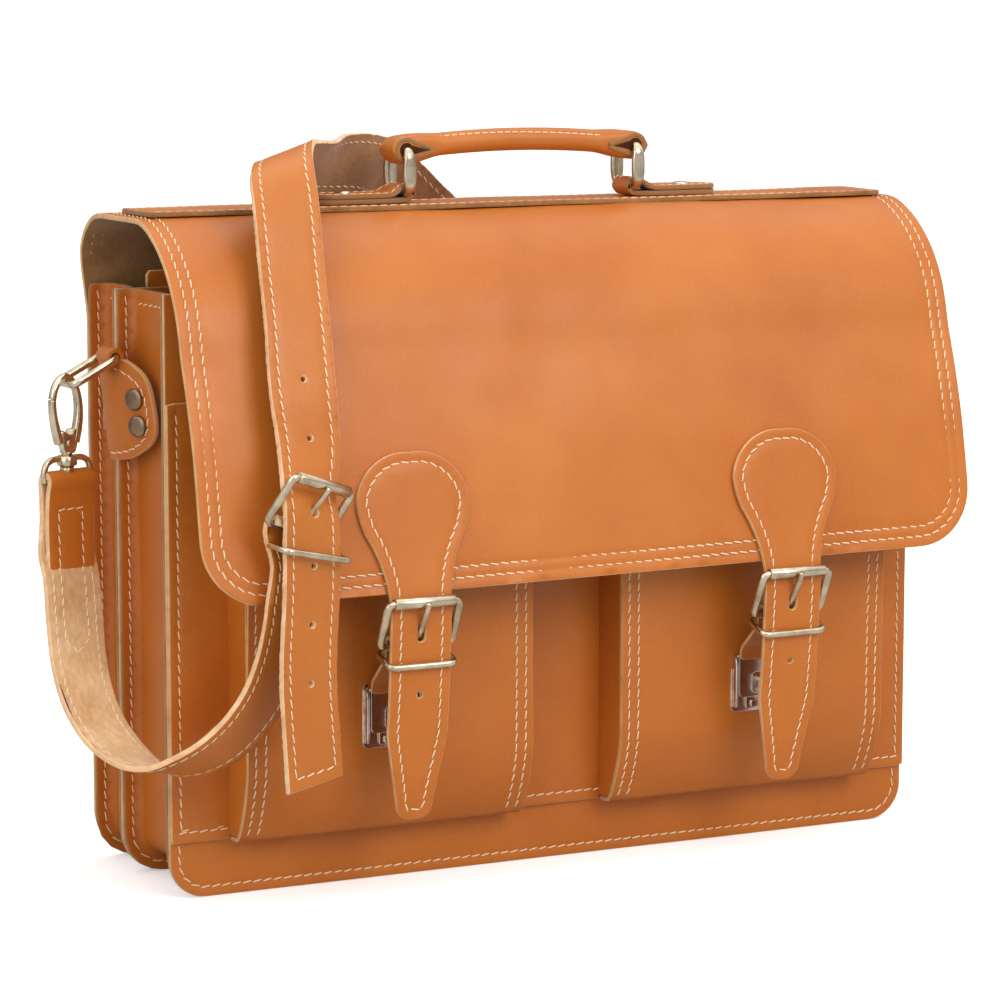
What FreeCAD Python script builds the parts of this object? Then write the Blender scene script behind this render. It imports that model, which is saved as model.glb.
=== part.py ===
import FreeCAD, Part
import math
import os
import Sketcher

# Leather briefcase (teacher's satchel) with two gusseted compartments, two front pockets, a full flap
# with two buckled closure straps and tuck locks, a swinging top handle and a clip-on shoulder strap.
# Row frame: +X right, +Y back, +Z up, origin at the middle of the divider panel's bottom edge.
# Millimetres and degrees throughout.

V = FreeCAD.Vector
Rotation = FreeCAD.Rotation
Placement = FreeCAD.Placement
Rule = Sketcher.Constraint

doc = FreeCAD.newDocument("Briefcase")
sheet = doc.addObject("Spreadsheet::Sheet", "Sheet")

SIZES = {
    # leather body
    "leather": 2.5, "body_width": 400, "panel_height": 281, "back_height": 288.4,
    "front_height": 283, "divider_rise": 289, "rise_width": 368, "bottom_corner": 20,
    "flange": 9, "front_gusset_depth": 58.75, "rear_gusset_depth": 34.75,
    "seam_level": 27, "front_pocket_top": 233,
    # small front pockets
    "pocket_width": 147.4, "pocket_inner_edge": 24, "pocket_top": 172, "pocket_reach": 24,
    "pocket_leather": 2, "pocket_bend": 62,
    # flap and what is sewn on it
    "flap_width": 408, "flap_bottom": 147, "flap_corner": 30, "flap_top": 316.5,
    "hinge_level": 290, "strip_width": 396, "strip_depth": 38,
    "strip_middle": -22,
    # handle
    "ring_spacing": 124, "ring_width": 22, "ring_rise": 20.4, "ring_wire": 2.2, "ring_corner": 3,
    "ring_level": 323.9, "tab_width": 22, "tab_loop_width": 16, "tab_length": 42, "tab_height": 5,
    "loop_bore": 2.45, "loop_outside": 4.8, "grip_radius": 5.3, "grip_crown": 3.7, "wrap_outside": 7.2,
    "core_radius": 3,
    # closure straps, buckles and locks
    "closure_spacing": 198, "pear_radius": 29.2, "pear_top": 210, "pear_widest": 188,
    "strap_half": 15.25, "tip_half": 9, "tip_level": 43, "slot_width": 4, "slot_length": 10.5,
    "slot_level": 129.3, "strap_hole": 1.5, "strap_hole_level": 99,
    "buckle_width": 36.4, "buckle_height": 23.5, "buckle_wire": 1.5, "buckle_corner": 3.5,
    "buckle_tilt": 24.7, "prong_lean": 9.9, "prong_length": 26, "prong_wire": 1.2,
    "prong_eye_width": 4.4, "roller_outside": 2.6, "roller_length": 30.5, "bar_play": 0.15,
    "keeper_width": 33.7, "keeper_depth": 14.8, "keeper_wire": 1.4, "keeper_corner": 3,
    "keeper_tilt": 20, "chape_leather": 2, "chape_width": 24,
    "lock_width": 30, "lock_height": 31, "lock_bottom": 69, "lock_plate": 1, "lock_wall": 1.2,
    "tongue_width": 24, "window_width": 9, "window_height": 10,
    # shoulder strap and its fittings
    "strap_thickness": 3, "fitting_bore": 1.95, "fitting_outside": 4.8,
    "tab_leather": 3, "side_tab_bottom": 200, "side_tab_height": 40,
    "side_ring_width": 20.4, "side_ring_length": 25, "side_ring_wire": 1.8, "side_ring_corner": 2.6,
    "side_loop_width": 15,
    "side_ring_tilt": 27.6, "side_loop_outside": 5,
    "hook_half": 8.1, "hook_wire": 1.9, "hook_top": 242.6, "hook_base": 212, "gate_wire": 1.4,
    "eye_width": 27.8, "eye_height": 10.4, "eye_wire": 1.6, "eye_corner": 3.5,
    "shoulder_buckle_width": 37.5, "shoulder_buckle_height": 25, "shoulder_roller": 32.5,
    "shoulder_keeper_width": 37, "shoulder_keeper_depth": 16,
    "rivet_radius": 5, "rivet_head": 2, "stud_radius": 3.5,
}

for row, (alias, value) in enumerate(SIZES.items(), start=1):
    sheet.set("A%d" % row, alias.replace("_", " "))
    sheet.set("B%d" % row, "%g" % value)
    sheet.setAlias("B%d" % row, alias)
doc.recompute()


def size(alias):
    """A driving dimension read back from the sheet."""
    return float(sheet.get(alias))


SIDES = {"left": -1, "right": 1}
LEATHER = size("leather")
BACK_OF_FRONT = -60.0
POCKET_PANEL_FACE = BACK_OF_FRONT - 2 * LEATHER
POCKET_FACE = POCKET_PANEL_FACE - size("pocket_reach")
CLOSURE_X = size("closure_spacing") / 2
RING_X = size("ring_spacing") / 2
HANDLE_Y = size("strip_middle")
RING_TOP = size("ring_level") + size("ring_rise")
TAB_UNDERSIDE = size("flap_top") + LEATHER + 0.1
EXTRA = 20.0                        # how far a cutting tool reaches past what it cuts
OVERRUN = 5.0                       # the same, for a bore in a small loop
POCKET_PLAY = 0.3                   # gap between a pocket's front and its side walls
NODES = []

# places of the fittings, for the left side; the right side is their mirror image
SIDE_RING_BAR = V(-206, -9, 250)
HOOK_AXIS = V(-229, -11, 0)
HOOK_TURN = 19.0
EYE_LEVEL = 193.6
EYE_PIN_TOP = 208.0

# closure buckle, in a section across the strap (Y, Z)
BUCKLE_BAR = (-116.5, 121.5)
TILT = math.radians(size("buckle_tilt"))
ROLLER_AXIS = (BUCKLE_BAR[0] - size("buckle_height") * math.sin(TILT),
               BUCKLE_BAR[1] + size("buckle_height") * math.cos(TILT))
KEEPER_MIDDLE = (-117.5, 115.5)


def node(shape_object, name):
    """Name a finished sub-part, which is written to parts/NAME.step."""
    shape_object.Label = name
    NODES.append(shape_object)
    return shape_object


def bind(thing, **expressions):
    """Bind an object's properties to formulas over the sheet."""
    for prop, formula in expressions.items():
        thing.setExpression(prop, formula)


def bind_place(thing, **expressions):
    """Bind coordinates of an object's placement (x, y, z)."""
    for axis, formula in expressions.items():
        thing.setExpression("Placement.Base." + axis, formula)


def origin_plane(body, role):
    return next(part for part in body.Origin.OriginFeatures if part.Role == role)


def name_rule(sketch, rule, name, formula):
    """Add a driving constraint and bind it to the sheet."""
    index = sketch.addConstraint(rule)
    sketch.renameConstraint(index, name)
    sketch.setExpression("Constraints." + name, formula)


def rounded_rectangle(sketch, width, height, corner):
    """A rounded rectangle about the sketch's origin, each size given as (value, formula)."""
    half_w, half_h, r = width[0] / 2, height[0] / 2, corner[0]
    centres = [(half_w - r, r - half_h), (half_w - r, half_h - r), (r - half_w, half_h - r),
               (r - half_w, r - half_h)]
    corners = []
    for index, (x, y) in enumerate(centres):
        circle = Part.Circle(V(x, y, 0), V(0, 0, 1), r)
        start = math.radians(90 * index - 90)
        corners.append(Part.ArcOfCircle(circle, start, start + math.pi / 2))
    geometry = []
    for index, arc in enumerate(corners):
        geometry.append(Part.LineSegment(corners[index - 1].EndPoint, arc.StartPoint))
        geometry.append(arc)
    sketch.addGeometry(geometry, False)
    for index in range(8):
        sketch.addConstraint(Rule("Tangent", index, 2, (index + 1) % 8, 1))
    for index in (3, 5, 7):
        sketch.addConstraint(Rule("Equal", 1, index))
    sketch.addConstraint(Rule("Horizontal", 4))
    sketch.addConstraint(Rule("Vertical", 6))
    sketch.addConstraint(Rule("Symmetric", 0, 1, 0, 2, -2))
    sketch.addConstraint(Rule("Symmetric", 2, 1, 2, 2, -1))
    name_rule(sketch, Rule("Radius", 1, r), "corner", corner[1])
    name_rule(sketch, Rule("DistanceX", 6, 1, 2, 1, width[0]), "width", width[1])
    name_rule(sketch, Rule("DistanceY", 0, 1, 4, 1, height[0]), "height", height[1])


def wire_loop(name, width, height, corner, wire):
    """A closed rectangular wire ring in its own XZ plane, as a pipe along a sketched spine."""
    body = doc.addObject("PartDesign::Body", "Body")
    spine = body.newObject("Sketcher::SketchObject", "Spine")
    spine.AttachmentSupport = [(origin_plane(body, "XZ_Plane"), "")]
    spine.MapMode = "FlatFace"
    sizes = [(size(alias), "Sheet." + alias) for alias in (width, height, corner)]
    rounded_rectangle(spine, *sizes)
    section = body.newObject("Sketcher::SketchObject", "Section")
    section.AttachmentSupport = [(spine, "Edge1")]
    section.MapMode = "NormalToEdge"
    section.addGeometry(Part.Circle(V(), V(0, 0, 1), size(wire)), False)
    section.addConstraint(Rule("Coincident", 0, 3, -1, 1))
    name_rule(section, Rule("Radius", 0, size(wire)), "wire", "Sheet." + wire)
    doc.recompute()
    pipe = body.newObject("PartDesign::AdditivePipe", "Pipe")
    pipe.Profile = section
    pipe.Spine = (spine, ["Edge%d" % number for number in range(1, 9)])
    body.Label = name
    return body


def place(thing, base, *turns):
    """Turn an object about its own origin, each turn an (axis, degrees) pair in order, then move it."""
    rotation = Rotation()
    for axis, degrees in turns:
        rotation = Rotation(axis, degrees) * rotation
    thing.Placement = Placement(base, rotation)
    return thing


def cylinder(radius, length, base, direction, name="Cylinder"):
    """A round bar whose radius and length are formulas, from base along direction."""
    bar = doc.addObject("Part::Cylinder", name)
    bind(bar, Radius=radius, Height=length)
    bar.Placement = Placement(base, Rotation(V(0, 0, 1), direction))
    return bar


def box(width, depth, height, base, turn=None):
    """A block whose sizes are formulas, with its low corner at base."""
    block = doc.addObject("Part::Box", "Block")
    bind(block, Length=width, Width=depth, Height=height)
    block.Placement = Placement(base, turn or Rotation())
    return block


def fuse(*pieces):
    joined = doc.addObject("Part::MultiFuse", "Joined")
    joined.Shapes = list(pieces)
    return joined


def cut(base, tool):
    result = doc.addObject("Part::Cut", "Cut")
    result.Base = base
    result.Tool = tool
    return result


def group(*pieces):
    """Separate solids that share one node."""
    together = doc.addObject("Part::Compound", "Group")
    together.Links = list(pieces)
    return together


def path_edges(points):
    """Lines through the points; a point given as ("arc", middle, end) is reached by an arc."""
    edges = []
    here = V(*points[0])
    for point in points[1:]:
        if point[0] == "arc":
            there = V(*point[2])
            edges.append(Part.Arc(here, V(*point[1]), there))
        else:
            there = V(*point)
            edges.append(Part.LineSegment(here, there))
        here = there
    return edges


def sketch_of(points, placement):
    """A free sketch of a path, its plane set by the placement."""
    sketch = doc.addObject("Sketcher::SketchObject", "Profile")
    sketch.Placement = placement
    sketch.addGeometry(path_edges(points), False)
    sketch.addConstraint([Rule("Block", index) for index in range(sketch.GeometryCount)])
    return sketch


SECTION = Placement(V(), Rotation(V(1, 1, 1), 120))      # sketch (x, y) -> (Y, Z), normal +X
PLAN = Placement()                                       # sketch (x, y) -> (X, Y), normal +Z
FRONT = Placement(V(), Rotation(V(1, 0, 0), 90))         # sketch (x, y) -> (X, Z), normal -Y


def extrude(sketch, direction, length, symmetric=False):
    solid = doc.addObject("Part::Extrusion", "Extrusion")
    solid.Base = sketch
    solid.DirMode = "Custom"
    solid.Dir = direction
    solid.Solid = True
    solid.Symmetric = symmetric
    bind(solid, LengthFwd=length)
    return solid


def bent_sheet(points, placement, thickness, direction, length, symmetric=True):
    """Leather of one thickness along a path, laid to the right of it (to the left if negative)."""
    offset = doc.addObject("Part::Offset2D", "Thickness")
    offset.Source = sketch_of(points, placement)
    offset.Fill = True
    offset.Mode = "Skin"
    bind(offset, Value=thickness)
    return extrude(offset, direction, length, symmetric)


def pan(half_width, bottom, top, corner, front, depth):
    """A block with rounded bottom corners: the outline that the panels and gussets share."""
    x, r = half_width, corner
    diagonal = r * (1 - math.sqrt(0.5))
    outline = [(-x, top, 0), (-x, bottom + r, 0),
               ("arc", (-x + diagonal, bottom + diagonal, 0), (-x + r, bottom, 0)),
               (x - r, bottom, 0),
               ("arc", (x - diagonal, bottom + diagonal, 0), (x, bottom + r, 0)),
               (x, top, 0), (-x, top, 0)]
    solid = extrude(sketch_of(outline, FRONT), V(0, 1, 0), depth)
    solid.Placement = Placement(V(0, front, 0), Rotation())
    return solid


# ---------------------------------------------------------------- body leather

def panels():
    """The flat leather panels of the body."""
    half = size("body_width") / 2
    corner = size("bottom_corner")
    rear_face = LEATHER / 2 + size("rear_gusset_depth")
    node(pan(half, 0, size("back_height"), corner + 4, rear_face, "Sheet.leather"), "back_panel")
    rise = size("divider_rise") - size("panel_height") + EXTRA
    raised = box("Sheet.rise_width", "Sheet.leather", "%g" % rise,
                 V(-size("rise_width") / 2, -LEATHER / 2, size("panel_height") - EXTRA))
    flat = pan(half, 0, size("panel_height"), corner, -LEATHER / 2, "Sheet.leather")
    node(fuse(flat, raised), "divider_panel")
    front = BACK_OF_FRONT - LEATHER
    node(pan(half, 0, size("front_height"), corner - 2, front, "Sheet.leather"), "front_panel")
    face = box("Sheet.body_width", "Sheet.leather", "Sheet.front_pocket_top - Sheet.seam_level",
               V(-half, POCKET_PANEL_FACE, 0))
    bind_place(face, z="Sheet.seam_level")
    node(face, "front_pocket_panel")


def gusset(name, front, depth_alias, corner):
    """A U-shaped side-and-bottom strip with a sewn flange at its front and at its back."""
    half, top, flange = size("body_width") / 2, size("panel_height"), size("flange")
    depth = size(depth_alias)
    back_flange = front + depth - LEATHER
    outside = fuse(pan(half, 0, top, corner, front, "Sheet.leather"),
                   pan(half - flange, flange, top, corner - 2, front, "Sheet." + depth_alias),
                   pan(half, 0, top, corner, back_flange, "Sheet.leather"))
    hollow = pan(half - flange - LEATHER, flange + LEATHER, top + EXTRA, corner - 4, front - EXTRA,
                 "Sheet.%s + %g" % (depth_alias, 2 * EXTRA))
    node(cut(outside, hollow), name)


def pocket_curve(inset):
    """A small pocket's section (Y, Z), from its mouth down the front and under to the panel."""
    face = POCKET_FACE + inset
    bend = size("pocket_bend")
    floor = size("seam_level") + inset
    return [(face, size("pocket_top"), 0), (face, bend, 0),
            ("arc", (face + 4.6 - 0.13 * inset, bend - 18.5 + 0.5 * inset, 0),
             (face + 13 - 0.5 * inset, floor, 0)),
            (POCKET_PANEL_FACE, floor, 0)]


def small_pockets():
    """Two front pockets, each a folded front with a wall at both sides."""
    reach = size("pocket_width") / 2
    thin = size("pocket_leather")
    for side, sign in SIDES.items():
        middle = sign * (size("pocket_inner_edge") + reach)
        front = bent_sheet(pocket_curve(0), SECTION, "-Sheet.pocket_leather", V(1, 0, 0),
                           "Sheet.pocket_width")
        front.Placement = Placement(V(middle, 0, 0), Rotation())
        node(front, side + "_pocket_front")
        inner = pocket_curve(thin + POCKET_PLAY)
        outline = inner + [(POCKET_PANEL_FACE, size("pocket_top"), 0), inner[0]]
        for wall, offset in (("left", -reach), ("right", reach - thin)):
            leaf = extrude(sketch_of(outline, SECTION), V(1, 0, 0), "Sheet.pocket_leather")
            leaf.Placement = Placement(V(middle + offset, 0, 0), Rotation())
            node(leaf, "%s_pocket_gusset_%s" % (side, wall))


# ---------------------------------------------------------------- flap and top

def flap_curve():
    """The flap's outer section (Y, Z) from its rear edge over the top to its front edge."""
    top = size("flap_top")
    return [(38.5, size("hinge_level"), 0), ("arc", (29.5, 308, 0), (6, top, 0)), (-42, top, 0),
            ("arc", (-72, 300, 0), (-94, 257, 0)), ("arc", (-102, 233.5, 0), (-108.3, 210, 0)),
            (-120.3, size("flap_bottom") - 0.5, 0)]


def flap():
    """One sheet from the back edge over the top and down the front, with rounded front corners."""
    sheet_solid = bent_sheet(flap_curve(), SECTION, "-Sheet.leather", V(1, 0, 0),
                             "Sheet.flap_width")
    half = size("flap_width") / 2
    outline = pan(half, size("flap_bottom"), 400, size("flap_corner"), -200, "400")
    shared = doc.addObject("Part::MultiCommon", "Trimmed")
    shared.Shapes = [sheet_solid, outline]
    node(shared, "flap")
    strip = box("Sheet.strip_width", "Sheet.strip_depth", "Sheet.leather", V(0, 0, 0))
    bind_place(strip, x="-Sheet.strip_width / 2", y="Sheet.strip_middle - Sheet.strip_depth / 2",
               z="Sheet.flap_top")
    node(strip, "top_strip")


def handle():
    """Two tabs, two rings and a rolled grip whose ends wrap round the rings."""
    middle = V(0, HANDLE_Y, 0)
    for side, sign in SIDES.items():
        axis = V(sign * RING_X, HANDLE_Y, size("ring_level"))
        handle_tab(side, sign, axis)
        ring = wire_loop("handle_ring_" + side, "ring_width", "ring_rise", "ring_corner", "ring_wire")
        node(place(ring, axis + V(0, 0, size("ring_rise") / 2), (V(0, 0, 1), 90)), ring.Label)
    grip_and_core(middle)


def handle_tab(side, sign, axis):
    """A leather tab folded round the ring's lower bar and sewn down, with a stud through it."""
    half_loop = V(0, size("tab_loop_width") / 2, 0)
    eye = cylinder("Sheet.loop_outside", "Sheet.tab_loop_width", axis - half_loop, V(0, 1, 0))
    neck = box("6", "Sheet.tab_loop_width", "Sheet.tab_height",
               V(min(axis.x, axis.x + 6 * sign), HANDLE_Y - size("tab_loop_width") / 2, TAB_UNDERSIDE))
    length = size("tab_length") - 5
    start = axis.x + 5 * sign
    plies = box("Sheet.tab_length - 5", "Sheet.tab_width", "Sheet.tab_height",
                V(min(start, start + sign * length), HANDLE_Y - size("tab_width") / 2, TAB_UNDERSIDE))
    bore = cylinder("Sheet.loop_bore", "Sheet.tab_loop_width + 10", axis - half_loop - V(0, OVERRUN, 0),
                    V(0, 1, 0))
    node(cut(fuse(eye, neck, plies), bore), "handle_tab_" + side)
    top = V(axis.x + 22 * sign, HANDLE_Y, TAB_UNDERSIDE + size("tab_height"))
    node(rivet(top, V(0, 0, 1), "Sheet.stud_radius", "Sheet.rivet_head * 0.6"), "handle_stud_" + side)


def rivet(base, direction, radius, height):
    """A domed rivet head standing on a surface."""
    head = cylinder(radius, height, base, direction, "Head")
    domed = doc.addObject("Part::Fillet", "Domed")
    domed.Base = head
    doc.recompute()
    rim = 1 + max(range(len(head.Shape.Edges)),
                  key=lambda index: head.Shape.Edges[index].CenterOfMass.dot(direction))
    domed.Edges = [(rim, 0.7 * head.Height.Value, 0.7 * head.Height.Value)]
    return domed


def grip_and_core(middle):
    """The rolled grip, level with the rings' upper bars at its ends, with a cord core inside."""
    crown = RING_TOP + size("grip_crown")
    axis = [(-RING_X, RING_TOP, 0), ("arc", (0, crown, 0), (RING_X, RING_TOP, 0))]
    roll = tube_along(axis, "grip_radius")
    wraps = []
    bores = []
    half_wrap = V(0, size("tab_loop_width") / 2, 0)
    for sign in SIDES.values():
        end = middle + V(sign * RING_X, 0, RING_TOP)
        wraps.append(cylinder("Sheet.wrap_outside", "Sheet.tab_loop_width", end - half_wrap, V(0, 1, 0)))
        bores.append(cylinder("Sheet.loop_bore", "Sheet.tab_loop_width + 10",
                              end - half_wrap - V(0, OVERRUN, 0), V(0, 1, 0)))
    inset = 14.0
    drop = size("grip_crown") * (1 - (1 - inset / RING_X) ** 2)
    short = [(-RING_X + inset, crown - size("grip_crown") + drop, 0),
             ("arc", (0, crown, 0), (RING_X - inset, crown - size("grip_crown") + drop, 0))]
    node(cut(fuse(roll, *wraps), fuse(tube_along(short, "core_radius"), *bores)), "handle_grip")
    node(tube_along(short, "core_radius"), "handle_core")


def tube_along(points, radius_alias):
    """A round bar swept along a path drawn in the handle's XZ plane."""
    path = sketch_of(points, Placement(V(0, HANDLE_Y, 0), Rotation(V(1, 0, 0), 90)))
    edge = path_edges(points)[0]
    start = edge.value(edge.FirstParameter)
    tangent = V(*edge.tangent(edge.FirstParameter)[0])
    ring = doc.addObject("Part::Circle", "Section")
    bind(ring, Radius="Sheet." + radius_alias)
    ring.Placement = Placement(V(start.x, HANDLE_Y, start.y),
                               Rotation(V(0, 0, 1), V(tangent.x, 0, tangent.y)))
    sweep = doc.addObject("Part::Sweep", "Sweep")
    sweep.Sections = [ring]
    sweep.Spine = (path, ["Edge%d" % number for number in range(1, path.GeometryCount + 1)])
    sweep.Solid = True
    return sweep


# ---------------------------------------------------------------- closures

def closure_outline(middle):
    """The closure strap seen from the front: a pear-shaped head, a waist and a tapered tip."""
    half, tip, bottom = size("strap_half"), size("tip_half"), size("tip_level")
    wide, widest, top = size("pear_radius") - 0.7, size("pear_widest"), size("pear_top")
    right = [(0, bottom - 4, 0), ("arc", (0.8 * tip, bottom - 3, 0), (tip, bottom + 4, 0)),
             (half, 80, 0), (half, 142, 0), ("arc", (half + 3.4, 160, 0), (half + 10, 174, 0)),
             ("arc", (wide - 1, widest - 7.5, 0), (wide, widest, 0)),
             ("arc", (0.72 * wide, widest + 0.71 * (top - widest), 0), (0, top, 0))]
    left = []
    ends = [right[0]] + [point[2] if point[0] == "arc" else point for point in right[1:]]
    for index in range(len(right) - 1, 0, -1):
        goal = ends[index - 1]
        goal = (-goal[0], goal[1], 0)
        if right[index][0] == "arc":
            turn = right[index][1]
            left.append(("arc", (-turn[0], turn[1], 0), goal))
        else:
            left.append(goal)
    return extrude(sketch_of(right + left, Placement(V(middle, -200, 0), FRONT.Rotation)), V(0, 1, 0),
                   "300")


def closure_strap(side, middle):
    """The sewn closure strap: its head lies on the flap, its tip hangs in front of the pocket."""
    curve = [(-107.97, 212, 0), (-120.3, 146.8, 0), ("arc", (-121.1, 139, 0), (-121.2, 131, 0)),
             (-119, 100, 0), (-111.5, 38, 0)]
    leather = bent_sheet(curve, SECTION, "Sheet.leather", V(1, 0, 0), "80")
    leather.Placement = Placement(V(middle, 0, 0), Rotation())
    shaped = doc.addObject("Part::MultiCommon", "Shaped")
    shaped.Shapes = [leather, closure_outline(middle)]
    slot = box("Sheet.slot_width", "40", "Sheet.slot_length", V(middle - size("slot_width") / 2, -140, 0))
    bind_place(slot, z="Sheet.slot_level - Sheet.slot_length / 2")
    hole = cylinder("Sheet.strap_hole", "40", V(middle, -140, size("strap_hole_level")), V(0, 1, 0))
    node(cut(shaped, fuse(slot, hole)), "closure_strap_" + side)


def closure_buckle(side, middle):
    """A roller buckle with its prong, and the sliding wire keeper under it."""
    tilt = size("buckle_tilt")
    bar = V(middle, *BUCKLE_BAR)
    roller_axis = V(middle, *ROLLER_AXIS)
    frame = wire_loop("buckle_frame_" + side, "buckle_width", "buckle_height", "buckle_corner",
                      "buckle_wire")
    node(place(frame, (bar + roller_axis) / 2, (V(1, 0, 0), tilt)), frame.Label)
    reach = V(size("roller_length") / 2, 0, 0)
    outside = cylinder("Sheet.roller_outside", "Sheet.roller_length", roller_axis - reach, V(1, 0, 0))
    bore = cylinder("Sheet.buckle_wire + 0.2", "Sheet.roller_length + 10",
                    roller_axis - reach - V(OVERRUN, 0, 0), V(1, 0, 0))
    node(cut(outside, bore), "buckle_roller_" + side)
    node(prong(bar, prong_run(bar, roller_axis, V(1, 0, 0)), V(1, 0, 0)), "buckle_prong_" + side)
    keeper = wire_loop("keeper_" + side, "keeper_width", "keeper_depth", "keeper_corner", "keeper_wire")
    node(place(keeper, V(middle, *KEEPER_MIDDLE), (V(1, 0, 0), size("keeper_tilt") - 90)), keeper.Label)


def prong_run(bar, roller_axis, across):
    """The prong's direction: it leans forward from the frame, so that it crosses over the roller."""
    upright = (roller_axis - bar).normalize()
    forward = across.cross(upright)
    lean = math.radians(size("prong_lean"))
    return upright * math.cos(lean) + forward * math.sin(lean)


def prong(bar, along, across):
    """A straight buckle prong with an eye round the frame's lower bar."""
    pin = cylinder("Sheet.prong_wire", "Sheet.prong_length", bar, along)
    start = bar - across * (size("prong_eye_width") / 2)
    eye = cylinder("Sheet.buckle_wire + 1.6", "Sheet.prong_eye_width", start, across)
    bore = cylinder("Sheet.buckle_wire + Sheet.bar_play", "Sheet.prong_eye_width + 10",
                    start - across * OVERRUN, across)
    return cut(fuse(pin, eye), bore)


def chape(side, middle):
    """The leather that holds the buckle: folded round its lower bar, it carries the lock tongue."""
    half = size("chape_width") / 2
    bar = V(middle, *BUCKLE_BAR)
    eye = cylinder("3.65", "Sheet.chape_width", bar - V(half, 0, 0), V(1, 0, 0))
    tail = bent_sheet([(-114.3, 119.5, 0), (-113.6, 113, 0), (-95.2, 98, 0), (-95.2, 89.5, 0)],
                      SECTION, "-Sheet.chape_leather", V(1, 0, 0), "Sheet.chape_width")
    tail.Placement = Placement(V(middle, 0, 0), Rotation())
    bore = cylinder("Sheet.buckle_wire + Sheet.bar_play", "Sheet.chape_width + 10",
                    bar - V(half + OVERRUN, 0, 0), V(1, 0, 0))
    gap = box("5.2", "14", "8", V(middle - 2.6, BUCKLE_BAR[0] - 8, BUCKLE_BAR[1] - 3.4))
    node(cut(fuse(eye, tail), fuse(bore, gap)), "chape_" + side)


def lock(side, middle):
    """A tuck lock: case on the pocket, sprung catch in it, tongue on the chape."""
    face = POCKET_FACE
    half = size("lock_width") / 2
    low = size("lock_bottom")
    plate = box("Sheet.lock_width", "Sheet.lock_plate", "Sheet.lock_height", V(middle - half, face - 1, low))
    walls = [box("Sheet.lock_wall", "4", "Sheet.lock_height - 3", V(x, face - 5, low + 1.5))
             for x in (middle - half + 0.8, middle + half - 0.8 - size("lock_wall"))]
    node(fuse(plate, *walls), "lock_base_" + side)
    rivets = [rivet(V(middle + dx, face - 1, low + 27), V(0, -1, 0), "1.5", "0.6") for dx in (-10, 10)]
    node(group(*rivets), "lock_rivets_" + side)
    slider = box("14", "1.3", "13", V(middle - 7, face - 2.4, low + 1.5))
    nose = box("5", "1.2", "3", V(middle - 2.5, face - 3.5, low + 11.5))
    button = box("10", "1.6", "4", V(middle - 5, face - 4, low + 2))
    node(fuse(slider, nose, button), "lock_catch_" + side)
    tongue = box("Sheet.tongue_width", "1.2", "22", V(middle - size("tongue_width") / 2, -93.2, low + 7.5))
    window = box("Sheet.window_width", "6", "Sheet.window_height",
                 V(middle - size("window_width") / 2, -96, low + 9.5))
    node(cut(tongue, window), "lock_tongue_" + side)


def closures():
    for side, sign in SIDES.items():
        middle = sign * CLOSURE_X
        closure_strap(side, middle)
        closure_buckle(side, middle)
        chape(side, middle)
        lock(side, middle)


# ---------------------------------------------------------------- shoulder strap fittings

def mirrored(point, sign):
    """A point given for the left side, on the side that the sign says."""
    return V(-sign * point.x, point.y, point.z)


def side_tab(side, sign):
    """A folded leather tab over the divider's edge, with a loop for the side ring and two rivets."""
    slope = [(-191.3, -38), (-201.2, -5), (-201.2, 5), (-191.3, 30)]
    points = [(-sign * x, y, 0) for x, y in slope]
    tent = bent_sheet(points, PLAN, "%d * Sheet.tab_leather" % sign, V(0, 0, 1), "Sheet.side_tab_height",
                      symmetric=False)
    bind_place(tent, z="Sheet.side_tab_bottom")
    bar = mirrored(SIDE_RING_BAR, sign)
    half = V(0, size("side_loop_width") / 2, 0)
    eye = cylinder("Sheet.side_loop_outside", "Sheet.side_loop_width", bar - half, V(0, 1, 0))
    neck = box("3", "Sheet.side_loop_width - 2", "14",
               V(bar.x - 1.5 + sign * -2.2, bar.y + 1 - half.y, size("side_tab_bottom") + 34))
    bore = cylinder("Sheet.side_ring_wire + 0.3", "Sheet.side_loop_width + 10",
                    bar - half - V(0, OVERRUN, 0), V(0, 1, 0))
    node(cut(fuse(tent, eye, neck), bore), "side_tab_" + side)
    outward = V(sign * 33, -9.9, 0).normalize()
    heads = []
    for level, along in ((231, 0.42), (219, 0.58)):
        foot = V(*points[1]) + (V(*points[0]) - V(*points[1])) * along
        foot = foot + outward * size("tab_leather") + V(0, 0, level)
        heads.append(rivet(foot, outward, "Sheet.rivet_radius", "Sheet.rivet_head"))
    node(group(*heads), "side_tab_rivets_" + side)


def side_ring(side, sign):
    """The rectangular ring that hangs in the side tab."""
    ring = wire_loop("side_ring_" + side, "side_ring_width", "side_ring_length", "side_ring_corner",
                     "side_ring_wire")
    tilt = math.radians(size("side_ring_tilt"))
    bar = mirrored(SIDE_RING_BAR, sign)
    half = size("side_ring_length") / 2
    middle = bar + V(sign * half * math.cos(tilt), 0, -half * math.sin(tilt))
    lean = sign * (90 + size("side_ring_tilt"))
    node(place(ring, middle, (V(0, 0, 1), 90), (V(0, 1, 0), lean)), ring.Label)


def hook_point(across, level, sign):
    """A point in the snap hook's own plane."""
    turn = math.radians(HOOK_TURN)
    point = V(HOOK_AXIS.x + across * math.cos(turn), HOOK_AXIS.y + across * math.sin(turn), level)
    return mirrored(point, sign)


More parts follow.
